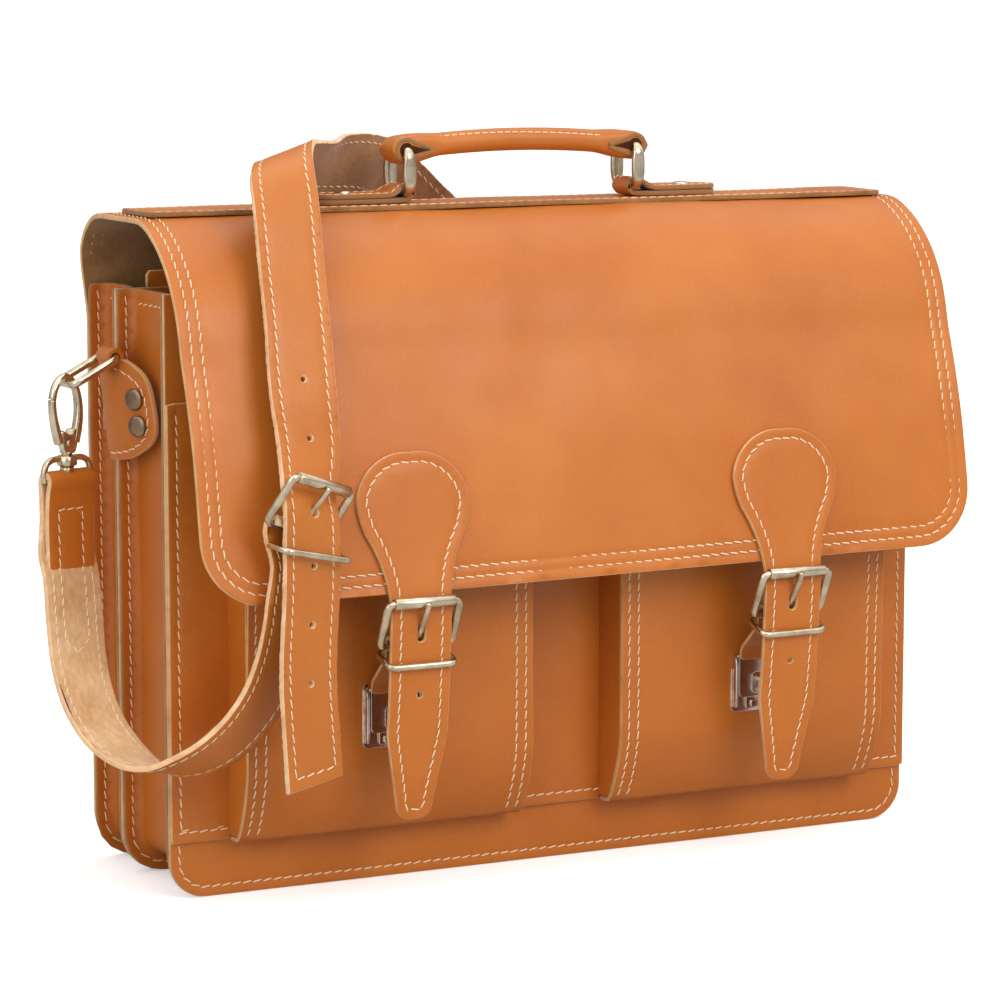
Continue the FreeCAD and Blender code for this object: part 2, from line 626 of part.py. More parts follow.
def snap_hook(side, sign):
    """The snap hook's cast bow and base, its gate, and the swivel eye that holds the strap."""
    half = size("hook_half")
    base, crown = size("hook_base"), size("hook_top")
    shoulder = crown - half
    bow = [hook_point(0, base - 4, sign), hook_point(half, base + 1, sign), hook_point(half, shoulder, sign),
           hook_point(0, crown, sign), hook_point(-half, shoulder, sign),
           hook_point(-half, shoulder - 2, sign)]
    edges = [Part.LineSegment(bow[0], bow[1]).toShape(), Part.LineSegment(bow[1], bow[2]).toShape(),
             Part.Arc(bow[2], bow[3], bow[4]).toShape(), Part.LineSegment(bow[4], bow[5]).toShape()]
    path = doc.addObject("Part::Feature", "Bow_path")
    path.Shape = Part.Wire(edges)
    ring = doc.addObject("Part::Circle", "Section")
    bind(ring, Radius="Sheet.hook_wire")
    ring.Placement = Placement(bow[0], Rotation(V(0, 0, 1), bow[1] - bow[0]))
    sweep = doc.addObject("Part::Sweep", "Sweep")
    sweep.Sections = [ring]
    sweep.Spine = (path, ["Edge1", "Edge2", "Edge3", "Edge4"])
    sweep.Solid = True
    sweep.Transition = "Round corner"
    foot = hook_point(-half, base - 3, sign)
    collar_base = hook_point(0, base - 6.2, sign)
    collar = cylinder("4", "6", collar_base, V(0, 0, 1))
    rest = fuse(sweep, collar, web(foot, collar_base, sign))
    node(cut(rest, cylinder("2", "4.6", collar_base - V(0, 0, 1), V(0, 0, 1))), "snap_hook_" + side)
    gate = cylinder("Sheet.gate_wire", "%g" % (shoulder - base - 3.6), hook_point(-half, base + 0.8, sign),
                    V(0, 0, 1))
    node(gate, "snap_gate_" + side)


def web(foot, collar_base, sign):
    """The flat foot of the hook that carries the gate's pivot."""
    across = collar_base - foot
    turn = Rotation(V(1, 0, 0), V(across.x, across.y, 0))
    low = V(foot.x, foot.y, foot.z) + turn.multVec(V(-2, -1.9, 0))
    return box("9", "3.8", "3", low, turn)


def swivel_eye(side, sign):
    """The D-shaped eye and its swivel pin."""
    eye = wire_loop("Eye", "eye_width", "eye_height", "eye_corner", "eye_wire")
    middle = hook_point(0, EYE_LEVEL + size("eye_height") / 2, sign)
    place(eye, middle, (V(0, 0, 1), -sign * HOOK_TURN))
    pin_foot = hook_point(0, EYE_LEVEL + size("eye_height"), sign)
    pin = cylinder("1.7", "%g" % (EYE_PIN_TOP - pin_foot.z), pin_foot, V(0, 0, 1))
    node(fuse(eye, pin), "swivel_eye_" + side)


def band(stations, thickness):
    """A flat strap through pairs of edge points, as a closed solid of plane facets."""
    rings = []
    for index, (first, second) in enumerate(stations):
        before = stations[max(index - 1, 0)]
        after = stations[min(index + 1, len(stations) - 1)]
        along = (after[0] + after[1]) - (before[0] + before[1])
        lift = (second - first).cross(along).normalize() * (thickness / 2)
        rings.append([first - lift, second - lift, second + lift, first + lift])
    faces = [[rings[0][0], rings[0][1], rings[0][2], rings[0][3]],
             [rings[-1][3], rings[-1][2], rings[-1][1], rings[-1][0]]]
    for here, there in zip(rings, rings[1:]):
        for corner in range(4):
            following = (corner + 1) % 4
            faces.append([here[corner], there[corner], there[following]])
            faces.append([here[corner], there[following], here[following]])
    flat = []
    for corners in faces:
        for a, b, c in ([corners] if len(corners) == 3 else [corners[:3], [corners[0]] + corners[2:]]):
            flat.append(Part.Face(Part.makePolygon([a, b, c, a])))
    solid = Part.Solid(Part.makeShell(flat))
    if solid.Volume < 0:
        solid.reverse()
    feature = doc.addObject("Part::Feature", "Band")
    feature.Shape = solid
    return feature


def pair(x1, y1, z1, x2, y2, z2):
    return (V(x1, y1, z1), V(x2, y2, z2))


def strap_fold(bar_middle, direction, width, pieces=1, gap=0.0):
    """The strap's end folded round a bar, as one sleeve or two with a gap for a prong."""
    along = V(direction).normalize()
    length = (width - gap) / pieces
    sleeves = []
    for number in range(pieces):
        start = bar_middle + along * (number * (length + gap) - width / 2)
        outside = cylinder("Sheet.fitting_outside", "%g" % length, start, along)
        bore = cylinder("Sheet.fitting_bore", "%g" % (length + 2), start - along, along)
        sleeves.append((outside, bore))
    return sleeves


def with_folds(strap, folds):
    """A strap joined to its folded ends, with their bores cut through everything."""
    outsides = [outside for outside, bore in folds]
    bores = [bore for outside, bore in folds]
    tools = fuse(*bores) if len(bores) > 1 else bores[0]
    return cut(fuse(strap, *outsides), tools)


# shoulder buckle: its roller, its lower bar, and the direction of both
BUCKLE_ROLLER = V(-153.3, -136, 201.6)
BUCKLE_ACROSS = V(0.895, 0.33, -0.30).normalize()
BUCKLE_DOWN = V(-0.36, 0.36, -0.86)
BUCKLE_DOWN = (BUCKLE_DOWN - BUCKLE_ACROSS * BUCKLE_DOWN.dot(BUCKLE_ACROSS)).normalize()
SHOULDER_BAR = BUCKLE_ROLLER + BUCKLE_DOWN * size("shoulder_buckle_height")
SHOULDER_PRONG_RUN = prong_run(SHOULDER_BAR, BUCKLE_ROLLER, BUCKLE_ACROSS)


def shoulder_buckle():
    """The strap's own roller buckle, prong and wire keeper."""
    normal = BUCKLE_DOWN.cross(BUCKLE_ACROSS)
    turn = Rotation(BUCKLE_ACROSS, normal, BUCKLE_DOWN * -1, "ZXY")
    frame = wire_loop("shoulder_buckle_frame", "shoulder_buckle_width", "shoulder_buckle_height",
                      "buckle_corner", "buckle_wire")
    frame.Placement = Placement((BUCKLE_ROLLER + SHOULDER_BAR) / 2, turn)
    start = BUCKLE_ROLLER - BUCKLE_ACROSS * (size("shoulder_roller") / 2)
    outside = cylinder("Sheet.roller_outside", "Sheet.shoulder_roller", start, BUCKLE_ACROSS)
    bore = cylinder("Sheet.buckle_wire + 0.2", "Sheet.shoulder_roller + 10", start - BUCKLE_ACROSS * 5,
                    BUCKLE_ACROSS)
    node(cut(outside, bore), "shoulder_buckle_roller")
    node(prong(SHOULDER_BAR, SHOULDER_PRONG_RUN, BUCKLE_ACROSS), "shoulder_buckle_prong")
    keeper = wire_loop("shoulder_buckle_keeper", "shoulder_keeper_width", "shoulder_keeper_depth",
                       "keeper_corner", "keeper_wire")
    across = V(0.95, 0.24, -0.22).normalize()
    back = V(-0.31, 0.94, 0.12)
    back = (back - across * back.dot(across)).normalize()
    keeper.Placement = Placement(V(-158.3, -130.2, 170.5), Rotation(across, back.cross(across), back, "ZXY"))
    node(frame, "shoulder_buckle_frame")
    node(keeper, "shoulder_buckle_keeper")


def shoulder_strap():
    """The two lengths of the shoulder strap, as they hang in front of, over and behind the bag."""
    thickness = size("strap_thickness")
    long_run = [
        pair(-171.5, -135.5, 62, -141.1, -125.7, 66), pair(-174.4, -136, 121.5, -144, -126, 120.5),
        pair(-173.2, -137, 155, -142.8, -127, 153), pair(-172.7, -138, 178, -143.5, -128.4, 176),
        pair(-172.8, -138.6, 190, -144, -128.4, 186),
        pair(-172, -134.5, 202, -144.4, -125.5, 193), pair(-170, -125, 217, -138.8, -119.5, 213),
        pair(-170, -115, 243, -137.7, -114, 241), pair(-168, -105, 272, -135.5, -104, 268),
        pair(-166, -92, 300, -132.5, -91, 297), pair(-163, -80, 325, -130.2, -80, 323),
        pair(-160, -70, 335, -127, -68, 339), pair(-150, -52, 340, -118, -48, 349),
        pair(-138, -34, 334, -108, -33, 350), pair(-119, -17, 326, -95, -20, 349),
        pair(-96, -4, 323, -80, -2, 351), pair(-72, 8, 321, -58, 12, 349.5),
        pair(-53, 31, 315, -37, 27, 342), pair(-35, 45, 302, -11, 40, 325),
        pair(-12, 50, 283, 13, 46, 306), pair(25, 48, 258, 47, 46, 282), pair(81, 47, 224, 98, 47, 252),
        pair(131, 47.5, 194, 148, 47.5, 222), pair(176, 47, 169, 194, 47, 196),
        pair(205, 46.5, 147, 228, 42, 170), pair(216, 38, 132.5, 246, 31, 145.5),
        pair(220, 21, 127, 252.5, 15, 134), pair(220.5, 4, 132, 252, -2, 136),
        pair(217, -6, 155, 247, -16, 155),
        pair(213.5, -5.7, 190.5, 244.5, -16.3, 190.5)]
    prong_hole = cylinder("Sheet.prong_wire + 1", "16", SHOULDER_BAR + SHOULDER_PRONG_RUN * 4,
                          SHOULDER_PRONG_RUN)
    right_eye = hook_point(0, EYE_LEVEL, 1)
    right_fold = strap_fold(right_eye, hook_point(5, 0, 1) - hook_point(0, 0, 1), 23)
    strap = with_folds(cut(band(long_run, thickness), prong_hole), right_fold)
    node(strap, "shoulder_strap_long")
    short_run = [
        pair(-244.5, -16.3, 190.5, -213.5, -5.7, 190.5), pair(-244, -18, 152, -214, -8, 150),
        pair(-246.2, -28, 131.8, -215.4, -18.3, 128.9), pair(-249.4, -44, 109.9, -219.1, -32.5, 109.5),
        pair(-249.2, -63, 91.7, -220.4, -48.3, 93.4), pair(-243.2, -80, 78, -217.4, -60.6, 81.2),
        pair(-232.4, -94, 71.6, -210.8, -69.8, 70.6), pair(-224.4, -101, 72.4, -204.7, -76.5, 64.7),
        pair(-216.7, -106, 76.5, -197.9, -83.1, 63.4), pair(-206.1, -110, 82.7, -188, -89, 66),
        pair(-194.5, -114, 93.4, -175.4, -95.9, 74.5), pair(-185.8, -118, 107.1, -163, -102.2, 90.4),
        pair(-181.1, -121, 121, -154.8, -107.8, 107.4), pair(-178.8, -125, 137, -149.5, -117.5, 126),
        pair(-178, -128, 151, -148, -122.8, 141), pair(-175.5, -129.1, 164, -147, -124.2, 156),
        pair(-174.2, -131.3, 172, -147.2, -124.1, 164), pair(-174.8, -131.7, 181.3, -149.4, -122.7, 172)]
    left_eye = hook_point(0, EYE_LEVEL, -1)
    folds = strap_fold(left_eye, hook_point(5, 0, -1) - hook_point(0, 0, -1), 23)
    folds = folds + strap_fold(SHOULDER_BAR, BUCKLE_ACROSS, 31, pieces=2, gap=6)
    prong_room = cylinder("3.4", "12", SHOULDER_BAR - SHOULDER_PRONG_RUN * 4, SHOULDER_PRONG_RUN)
    node(cut(with_folds(band(short_run, thickness), folds), prong_room), "shoulder_strap_short")


def side_fittings():
    for side, sign in SIDES.items():
        side_tab(side, sign)
        side_ring(side, sign)
        snap_hook(side, sign)
        swivel_eye(side, sign)


panels()
gusset("gusset_front", BACK_OF_FRONT, "front_gusset_depth", size("bottom_corner"))
gusset("gusset_rear", LEATHER / 2, "rear_gusset_depth", size("bottom_corner"))
small_pockets()
flap()
handle()
closures()
side_fittings()
shoulder_buckle()
shoulder_strap()
doc.recompute()

faults = [thing.Label for thing in doc.Objects if set(thing.State) & {"Invalid", "Error"}]
assert not faults, faults
os.makedirs("parts", exist_ok=True)
for part in NODES:
    shape = part.Shape
    assert not shape.isNull() and shape.isValid() and shape.Volume > 0, part.Label
    shape.exportStep("parts/%s.step" % part.Label)
    print("%-26s solids %d  volume %9.1f" % (part.Label, len(shape.Solids), shape.Volume))
print(len(NODES), "nodes")
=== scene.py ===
import math

import bpy
import numpy as np
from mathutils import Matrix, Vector
from mathutils.geometry import delaunay_2d_cdt


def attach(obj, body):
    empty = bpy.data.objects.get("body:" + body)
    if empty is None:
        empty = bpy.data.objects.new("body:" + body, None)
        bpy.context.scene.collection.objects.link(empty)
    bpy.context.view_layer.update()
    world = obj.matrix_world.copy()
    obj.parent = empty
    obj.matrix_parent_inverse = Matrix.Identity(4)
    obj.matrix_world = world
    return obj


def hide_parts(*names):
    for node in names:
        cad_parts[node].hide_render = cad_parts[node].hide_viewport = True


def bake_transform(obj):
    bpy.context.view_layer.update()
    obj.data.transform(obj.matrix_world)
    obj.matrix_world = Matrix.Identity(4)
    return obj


# Visual model of the leather satchel: every leather is cut as a flat outline, given its thickness and a
# rounded raw edge, and bent to its place; threads are stitches one by one; metal is swept or turned.
# Lengths are in millimetres until a mesh is made.

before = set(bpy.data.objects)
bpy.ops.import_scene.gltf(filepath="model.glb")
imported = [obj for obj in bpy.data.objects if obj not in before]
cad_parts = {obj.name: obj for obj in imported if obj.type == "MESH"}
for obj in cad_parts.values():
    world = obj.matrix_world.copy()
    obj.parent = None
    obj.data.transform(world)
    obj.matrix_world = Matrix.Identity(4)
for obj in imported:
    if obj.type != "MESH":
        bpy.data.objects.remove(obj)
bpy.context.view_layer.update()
MM = 0.001
SIDES = {"left": -1, "right": 1}


# ---------------------------------------------------------------- materials

def linear(red, green, blue):
    """A colour given as 0-255 screen values."""
    return tuple((c / 255) ** 2.2 for c in (red, green, blue)) + (1.0,)


class Nodes:
    """A short way to write a material's node tree."""

    def __init__(self, name):
        self.material = bpy.data.materials.new(name)
        self.material.use_nodes = True
        self.tree = self.material.node_tree
        self.shader = self.tree.nodes["Principled BSDF"]
        self.coordinates = self.tree.nodes.new("ShaderNodeTexCoord")

    def node(self, kind, links=None, **values):
        made = self.tree.nodes.new("ShaderNode" + kind)
        for name, value in values.items():
            if hasattr(made, name):
                setattr(made, name, value)
            else:
                made.inputs[name.replace("_", " ")].default_value = value
        for name, socket in (links or {}).items():
            self.tree.links.new(socket, made.inputs[name])
        return made

    def place(self, scale, stretch=(1, 1, 1), source="UV"):
        mapping = self.node("Mapping", {"Vector": self.coordinates.outputs[source]})
        mapping.inputs["Scale"].default_value = [scale * s for s in stretch]
        return mapping.outputs["Vector"]

    def noise(self, scale, detail=3.0, stretch=(1, 1, 1), source="UV", roughness=0.55):
        made = self.node("TexNoise", {"Vector": self.place(scale, stretch, source)}, Scale=1.0,
                         Detail=detail, Roughness=roughness)
        return made.outputs["Fac"]

    def cells(self, scale):
        made = self.node("TexVoronoi", {"Vector": self.place(scale)}, Scale=1.0)
        return made.outputs["Distance"]

    def ramp(self, value, stops):
        made = self.node("ValToRGB", {"Fac": value})
        elements = made.color_ramp.elements
        while len(elements) < len(stops):
            elements.new(0.5)
        for element, (position, colour) in zip(elements, stops):
            element.position = position
            element.color = colour
        return made.outputs["Color"]

    def span(self, value, low, high):
        made = self.node("MapRange", {"Value": value})
        made.inputs["From Min"].default_value = 0.3
        made.inputs["From Max"].default_value = 0.7
        made.inputs["To Min"].default_value = low
        made.inputs["To Max"].default_value = high
        return made.outputs["Result"]

    def mix(self, blend, factor, first, second):
        made = self.tree.nodes.new("ShaderNodeMix")
        made.data_type = "RGBA"
        made.blend_type = blend
        made.inputs[0].default_value = factor
        self.tree.links.new(first, made.inputs[6])
        self.tree.links.new(second, made.inputs[7])
        return made.outputs[2]

    def bump(self, height, strength, distance, before=None):
        links = {"Height": height}
        if before is not None:
            links["Normal"] = before
        made = self.node("Bump", links, Strength=strength, Distance=distance)
        return made.outputs["Normal"]

    def surface(self, links=None, **values):
        for name, value in values.items():
            self.shader.inputs[name.replace("_", " ")].default_value = value
        for name, socket in (links or {}).items():
            self.tree.links.new(socket, self.shader.inputs[name])
        return self.material


def grain_leather(name, dark, light):
    """Smooth veg-tanned grain side: cloudy colour, fine pores, faint scuffs."""
    n = Nodes(name)
    cloud = n.noise(1.3, 4.0)
    colour = n.ramp(cloud, [(0.25, linear(*dark)), (0.75, linear(*light))])
    speckle = n.ramp(n.noise(60.0, 2.0), [(0.3, (0.80, 0.80, 0.80, 1)), (0.65, (1, 1, 1, 1))])
    colour = n.mix("MULTIPLY", 0.35, colour, speckle)
    pores = n.bump(n.cells(75.0), 0.16, 0.0002)
    creases = n.bump(n.noise(22.0, 5.0, (1, 0.55, 1)), 0.16, 0.0005, pores)
    rough = n.span(n.noise(4.0, 5.0), 0.36, 0.50)
    return n.surface({"Base Color": colour, "Roughness": rough, "Normal": creases},
                     Coat_Weight=0.10, Coat_Roughness=0.38, Specular_IOR_Level=0.42)


def fibre_leather(name, dark, light, depth):
    """Raw edge or flesh side: matt, fibrous, uneven in colour."""
    n = Nodes(name)
    blotch = n.ramp(n.noise(5.0, 4.0), [(0.3, linear(*dark)), (0.7, linear(*light))])
    fibres = n.noise(40.0, 6.0, (1, 0.45, 1), roughness=0.75)
    shade = n.ramp(fibres, [(0.3, (0.66, 0.62, 0.58, 1)), (0.62, (1, 1, 1, 1))])
    colour = n.mix("MULTIPLY", 0.8, blotch, shade)
    return n.surface({"Base Color": colour, "Normal": n.bump(fibres, 0.6, depth)},
                     Roughness=0.93, Specular_IOR_Level=0.15, Sheen_Weight=0.25, Sheen_Roughness=0.6)


def metal(name, dark, light, low, high):
    """Plated die-cast metal with a cloudy patina and fine rubbing marks."""
    n = Nodes(name)
    cloud = n.noise(110.0, 3.0, source="Object")
    colour = n.ramp(cloud, [(0.35, linear(*dark)), (0.68, linear(*light))])
    rubbed = n.noise(700.0, 3.0, (1, 1, 4), "Object")
    return n.surface({"Base Color": colour, "Roughness": n.span(cloud, high, low),
                      "Normal": n.bump(rubbed, 0.04, 0.00005)}, Metallic=1.0)


def plain(name, colour, roughness, scale, depth):
    n = Nodes(name)
    noise = n.noise(scale, 3.0, source="Object")
    shade = n.ramp(noise, [(0.3, linear(*[c * 0.86 for c in colour])), (0.7, linear(*colour))])
    return n.surface({"Base Color": shade, "Normal": n.bump(noise, 0.5, depth)}, Roughness=roughness,
                     Specular_IOR_Level=0.25)


GRAIN = grain_leather("Leather_grain", (182, 97, 30), (202, 116, 42))
STRAP = grain_leather("Leather_strap_grain", (184, 101, 34), (204, 120, 47))
EDGE = fibre_leather("Leather_raw_edge", (202, 150, 92), (232, 188, 130), 0.0003)
FRAYED = fibre_leather("Strap_raw_edge", (228, 178, 130), (248, 210, 166), 0.0004)
BURNISHED = fibre_leather("Leather_burnished_edge", (138, 94, 52), (176, 128, 78), 0.0002)
FLESH = fibre_leather("Leather_flesh_side", (140, 98, 57), (170, 125, 78), 0.0004)
PALE = fibre_leather("Leather_pale_flesh_side", (214, 164, 112), (238, 196, 146), 0.0005)
THREAD = plain("Thread_waxed", (250, 226, 190), 0.55, 2500.0, 0.0001)
# Painted shade: a near-black flat colour for the sheet set inside the grip's folded edges, where only
# shadow falls.
PAINTED_HOLLOW_SHADE = plain("Painted_hollow_shade", (70, 38, 18), 0.9, 900.0, 0.0001)
BRASS = metal("Brass_antique", (184, 168, 140), (228, 217, 192), 0.20, 0.29)
DARK_BRASS = metal("Brass_dark_antique", (128, 106, 88), (164, 140, 118), 0.26, 0.36)
NICKEL = metal("Nickel_polished", (206, 194, 182), (240, 230, 218), 0.16, 0.26)
CORE = plain("Core_cord", (214, 200, 168), 0.9, 600.0, 0.0003)
GRAINY = (GRAIN, EDGE, FLESH)
DRESSED = (GRAIN, BURNISHED, FLESH)


# ---------------------------------------------------------------- paths and surfaces

def arc_points(start, middle, end, step):
    """Points on the arc through three points of a plane."""
    (ax, ay), (bx, by), (cx, cy) = start, middle, end
    turn = 2 * (ax * (by - cy) + bx * (cy - ay) + cx * (ay - by))
    a2, b2, c2 = ax * ax + ay * ay, bx * bx + by * by, cx * cx + cy * cy
    ox = (a2 * (by - cy) + b2 * (cy - ay) + c2 * (ay - by)) / turn
    oy = (a2 * (cx - bx) + b2 * (ax - cx) + c2 * (bx - ax)) / turn
    radius = math.hypot(ax - ox, ay - oy)
    first = math.atan2(ay - oy, ax - ox)
    sweep = (math.atan2(cy - oy, cx - ox) - first) % (2 * math.pi)
    half = (math.atan2(by - oy, bx - ox) - first) % (2 * math.pi)
    if half > sweep:
        sweep -= 2 * math.pi
    count = max(3, int(abs(sweep) * radius / step))
    angles = first + sweep * np.arange(1, count + 1) / count
    return np.stack([ox + radius * np.cos(angles), oy + radius * np.sin(angles)], 1)


def drawn(points, step=2.0):
    """A plane path of straight runs and arcs, as evenly spaced points."""
    path = [np.array([points[0]], float)]
    for point in points[1:]:
        here = path[-1][-1]
        if point[0] == "arc":
            path.append(arc_points(here, point[1], point[2], step))
        else:
            count = max(1, int(np.hypot(*(np.array(point) - here)) / step))
            part = np.arange(1, count + 1)[:, None] / count
            path.append(here + part * (np.array(point, float) - here))
    return np.concatenate(path)


def lengths(points):
    return np.concatenate([[0], np.cumsum(np.linalg.norm(np.diff(points, axis=0), axis=1))])


def sample(t, run, values):
    """Values known at the lengths in run, at the lengths in t."""
    return np.stack([np.interp(t, run, values[:, k]) for k in range(values.shape[1])], 1)


def unit(vectors):
    return vectors / np.maximum(np.linalg.norm(vectors, axis=-1, keepdims=True), 1e-9)


def softened(points, width, step=0.5):
    """The path resampled evenly with its bends eased over the given width; its ends stay put."""
    run = lengths(points)
    path = sample(np.linspace(0, run[-1], int(run[-1] / step) + 1), run, points)
    reach = int(3 * width / step)
    if reach < 1:
        return path
    kernel = np.exp(-0.5 * (np.arange(-reach, reach + 1) * step / width) ** 2)
    kernel /= kernel.sum()
    head = 2 * path[0] - path[1:reach + 1][::-1]
    tail = 2 * path[-1] - path[-reach - 1:-1][::-1]
    padded = np.concatenate([head, path, tail])
    return np.stack([np.convolve(padded[:, k], kernel, "valid") for k in range(path.shape[1])], 1)


def bending_rows(run, normals, longest, turn):
    """Lengths for mesh rows: close together where the path bends."""
    bend = np.degrees(np.linalg.norm(np.diff(normals, axis=0), axis=1))
    cost = np.concatenate([[0], np.cumsum(np.diff(run) / longest + bend / turn)])
    return np.interp(np.arange(0.5, cost[-1]), cost, run)


class Track:
    """A softened plane path that gives places and sideways normals by length."""

    def __init__(self, points, width=3.0, side=1):
        self.points = softened(drawn(points, 1.0), width)
        self.run = lengths(self.points)
        self.length = self.run[-1]
        slope = np.gradient(self.points, axis=0)
        self.normals = side * unit(np.stack([slope[:, 1], -slope[:, 0]], 1))

    def at(self, t):
        place = sample(t, self.run, self.points)
        normal = unit(sample(t, self.run, self.normals))
        beyond = np.clip(t - self.length, 0, None) + np.clip(t, None, 0)
        along = np.stack([-normal[:, 1], normal[:, 0]], 1)
        ahead = self.points[-1] - self.points[-2]
        along *= np.sign(along[-1] @ ahead)
        return place + along * beyond[:, None], normal

    def rows(self, longest, turn):
        return bending_rows(self.run, self.normals, longest, turn)


def across_x(track, middle=0.0):
    """Surface: flat (s, t) laid along a Y-Z section, s along X."""
    def where(flat):
        place, normal = track.at(flat[:, 1])
        zero = np.zeros(len(flat))
        return (np.stack([middle + flat[:, 0], place[:, 0], place[:, 1]], 1),
                np.stack([zero, normal[:, 0], normal[:, 1]], 1))
    return where


def plane(origin, right, up):
    """Surface: flat (s, t) on a plane through the origin; its normal is right x up."""
    origin, right, up = (np.array(v, float) for v in (origin, right, up))
    normal = np.cross(right, up)

    def where(flat):
        return (origin + flat[:, :1] * right + flat[:, 1:] * up, np.tile(normal, (len(flat), 1)))
    return where


def hermite(points, step):
    """A smooth curve through all the points."""
    run = lengths(points[:, :3])
    slope = np.gradient(points, run, axis=0)
    t = np.unique(np.concatenate([np.linspace(a, b, max(2, int((b - a) / step) + 2))
                                  for a, b in zip(run, run[1:])]))
    index = np.clip(np.searchsorted(run, t, "right") - 1, 0, len(run) - 2)
    span = (run[index + 1] - run[index])[:, None]
    u = ((t - run[index]) / span[:, 0])[:, None]
    return ((2 * u**3 - 3 * u**2 + 1) * points[index] + (u**3 - 2 * u**2 + u) * span * slope[index]
            + (3 * u**2 - 2 * u**3) * points[index + 1] + (u**3 - u**2) * span * slope[index + 1])


class Ribbon:
    """A strap through pairs of edge points; s runs from the first edge to the second."""

    def __init__(self, stations, thickness, side=1):
        curve = hermite(np.array(stations, float), 1.0)
        self.first, self.second = curve[:, :3], curve[:, 3:]
        middle = (self.first + self.second) / 2
        self.run = lengths(middle)
        self.length = self.run[-1]
        self.normals = side * unit(np.cross(self.second - self.first, np.gradient(middle, axis=0)))
        self.lift = thickness / 2

    def at(self, flat):
        first, second, normal = (sample(flat[:, 1], self.run, values)
                                 for values in (self.first, self.second, self.normals))
        normal = unit(normal)
        return (first + second) / 2 + unit(second - first) * flat[:, :1] + normal * self.lift, normal

    def rows(self):
        return bending_rows(self.run, self.normals, 5.0, 7.0)


# ---------------------------------------------------------------- meshes

def inside(points, polygon):
    """Which points lie in a closed polygon."""
    x, y = points[:, 0][:, None], points[:, 1][:, None]
    a, b = polygon, np.roll(polygon, -1, 0)
    crosses = (a[:, 1] > y) != (b[:, 1] > y)
    rise = np.where(b[:, 1] == a[:, 1], 1e-9, b[:, 1] - a[:, 1])
    at = a[:, 0] + (y - a[:, 1]) * (b[:, 0] - a[:, 0]) / rise
    return (crosses & (x < at)).sum(1) % 2 == 1


def distance(points, lines):
    """Distance from each point to the nearest of several polylines."""
    nearest = np.full(len(points), 1e9)
    for line in lines:
        a, along = line[:-1], np.diff(line, axis=0)
        square = np.maximum((along ** 2).sum(1), 1e-9)
        for start in range(0, len(points), 2000):
            part = points[start:start + 2000, None] - a
            t = np.clip((part * along).sum(2) / square, 0, 1)
            gap = np.linalg.norm(part - t[:, :, None] * along, axis=2).min(1)
            nearest[start:start + 2000] = np.minimum(nearest[start:start + 2000], gap)
    return nearest


def closed(points):
    return np.concatenate([points, points[:1]])


def inset(polygon, amount):
    """A closed outline moved inwards (the outline runs anticlockwise)."""
    ahead = unit(np.roll(polygon, -1, 0) - polygon)
    behind = np.roll(ahead, 1, 0)
    bisector = ahead + behind
    normal = unit(np.stack([-bisector[:, 1], bisector[:, 0]], 1))
    square = np.maximum((normal * np.stack([-ahead[:, 1], ahead[:, 0]], 1)).sum(1), 0.5)
    return polygon + normal * (amount / square)[:, None]


def beside(line, amount):
    """An open polyline moved to its left."""
    slope = np.gradient(line, axis=0)
    return line + amount * unit(np.stack([-slope[:, 1], slope[:, 0]], 1))


def even(line, step):
    run = lengths(line)
    return sample(np.linspace(0, run[-1], max(2, int(round(run[-1] / step)) + 1)), run, line)


def outlined(points, step):
    """A closed outline as evenly spaced points."""
    return even(closed(np.array(points, float)), step)[:-1]


def eased(share):
    """0 to 1 with a soft start and end."""
    return share * share * (3 - 2 * share)


def make(name, verts, faces, materials, slots=None, uv=None):
    """A smooth mesh object from millimetre vertices."""
    data = bpy.data.meshes.new(name)
    data.from_pydata((np.asarray(verts) * MM).tolist(), [], faces)
    for material in materials:
        data.materials.append(material)
    data.polygons.foreach_set("use_smooth", [True] * len(faces))
    if slots is not None:
        data.polygons.foreach_set("material_index", slots)
    if uv is not None:
        corner = np.empty(len(data.loops), int)
        data.loops.foreach_get("vertex_index", corner)
        layer = data.uv_layers.new(name="Flat")
        layer.data.foreach_set("uv", (np.asarray(uv)[corner] * 0.01).ravel())
    data.validate()
    made = bpy.data.objects.new(name, data)
    bpy.context.collection.objects.link(made)
    return made


def belly(flat, amount, seed):
    """Slow hand-made unevenness of a leather surface."""
    if not amount:
        return np.zeros(len(flat))
    wave = np.random.default_rng(seed)
    total = np.zeros(len(flat))
    for length in (170, 95, 60, 37):
        angle, phase = wave.uniform(0, math.pi), wave.uniform(0, 6.28)
        along = flat[:, 0] * math.cos(angle) + flat[:, 1] * math.sin(angle)
        total += np.sin(along * 6.283 / length + phase) * length / 170
    return total * amount / 2


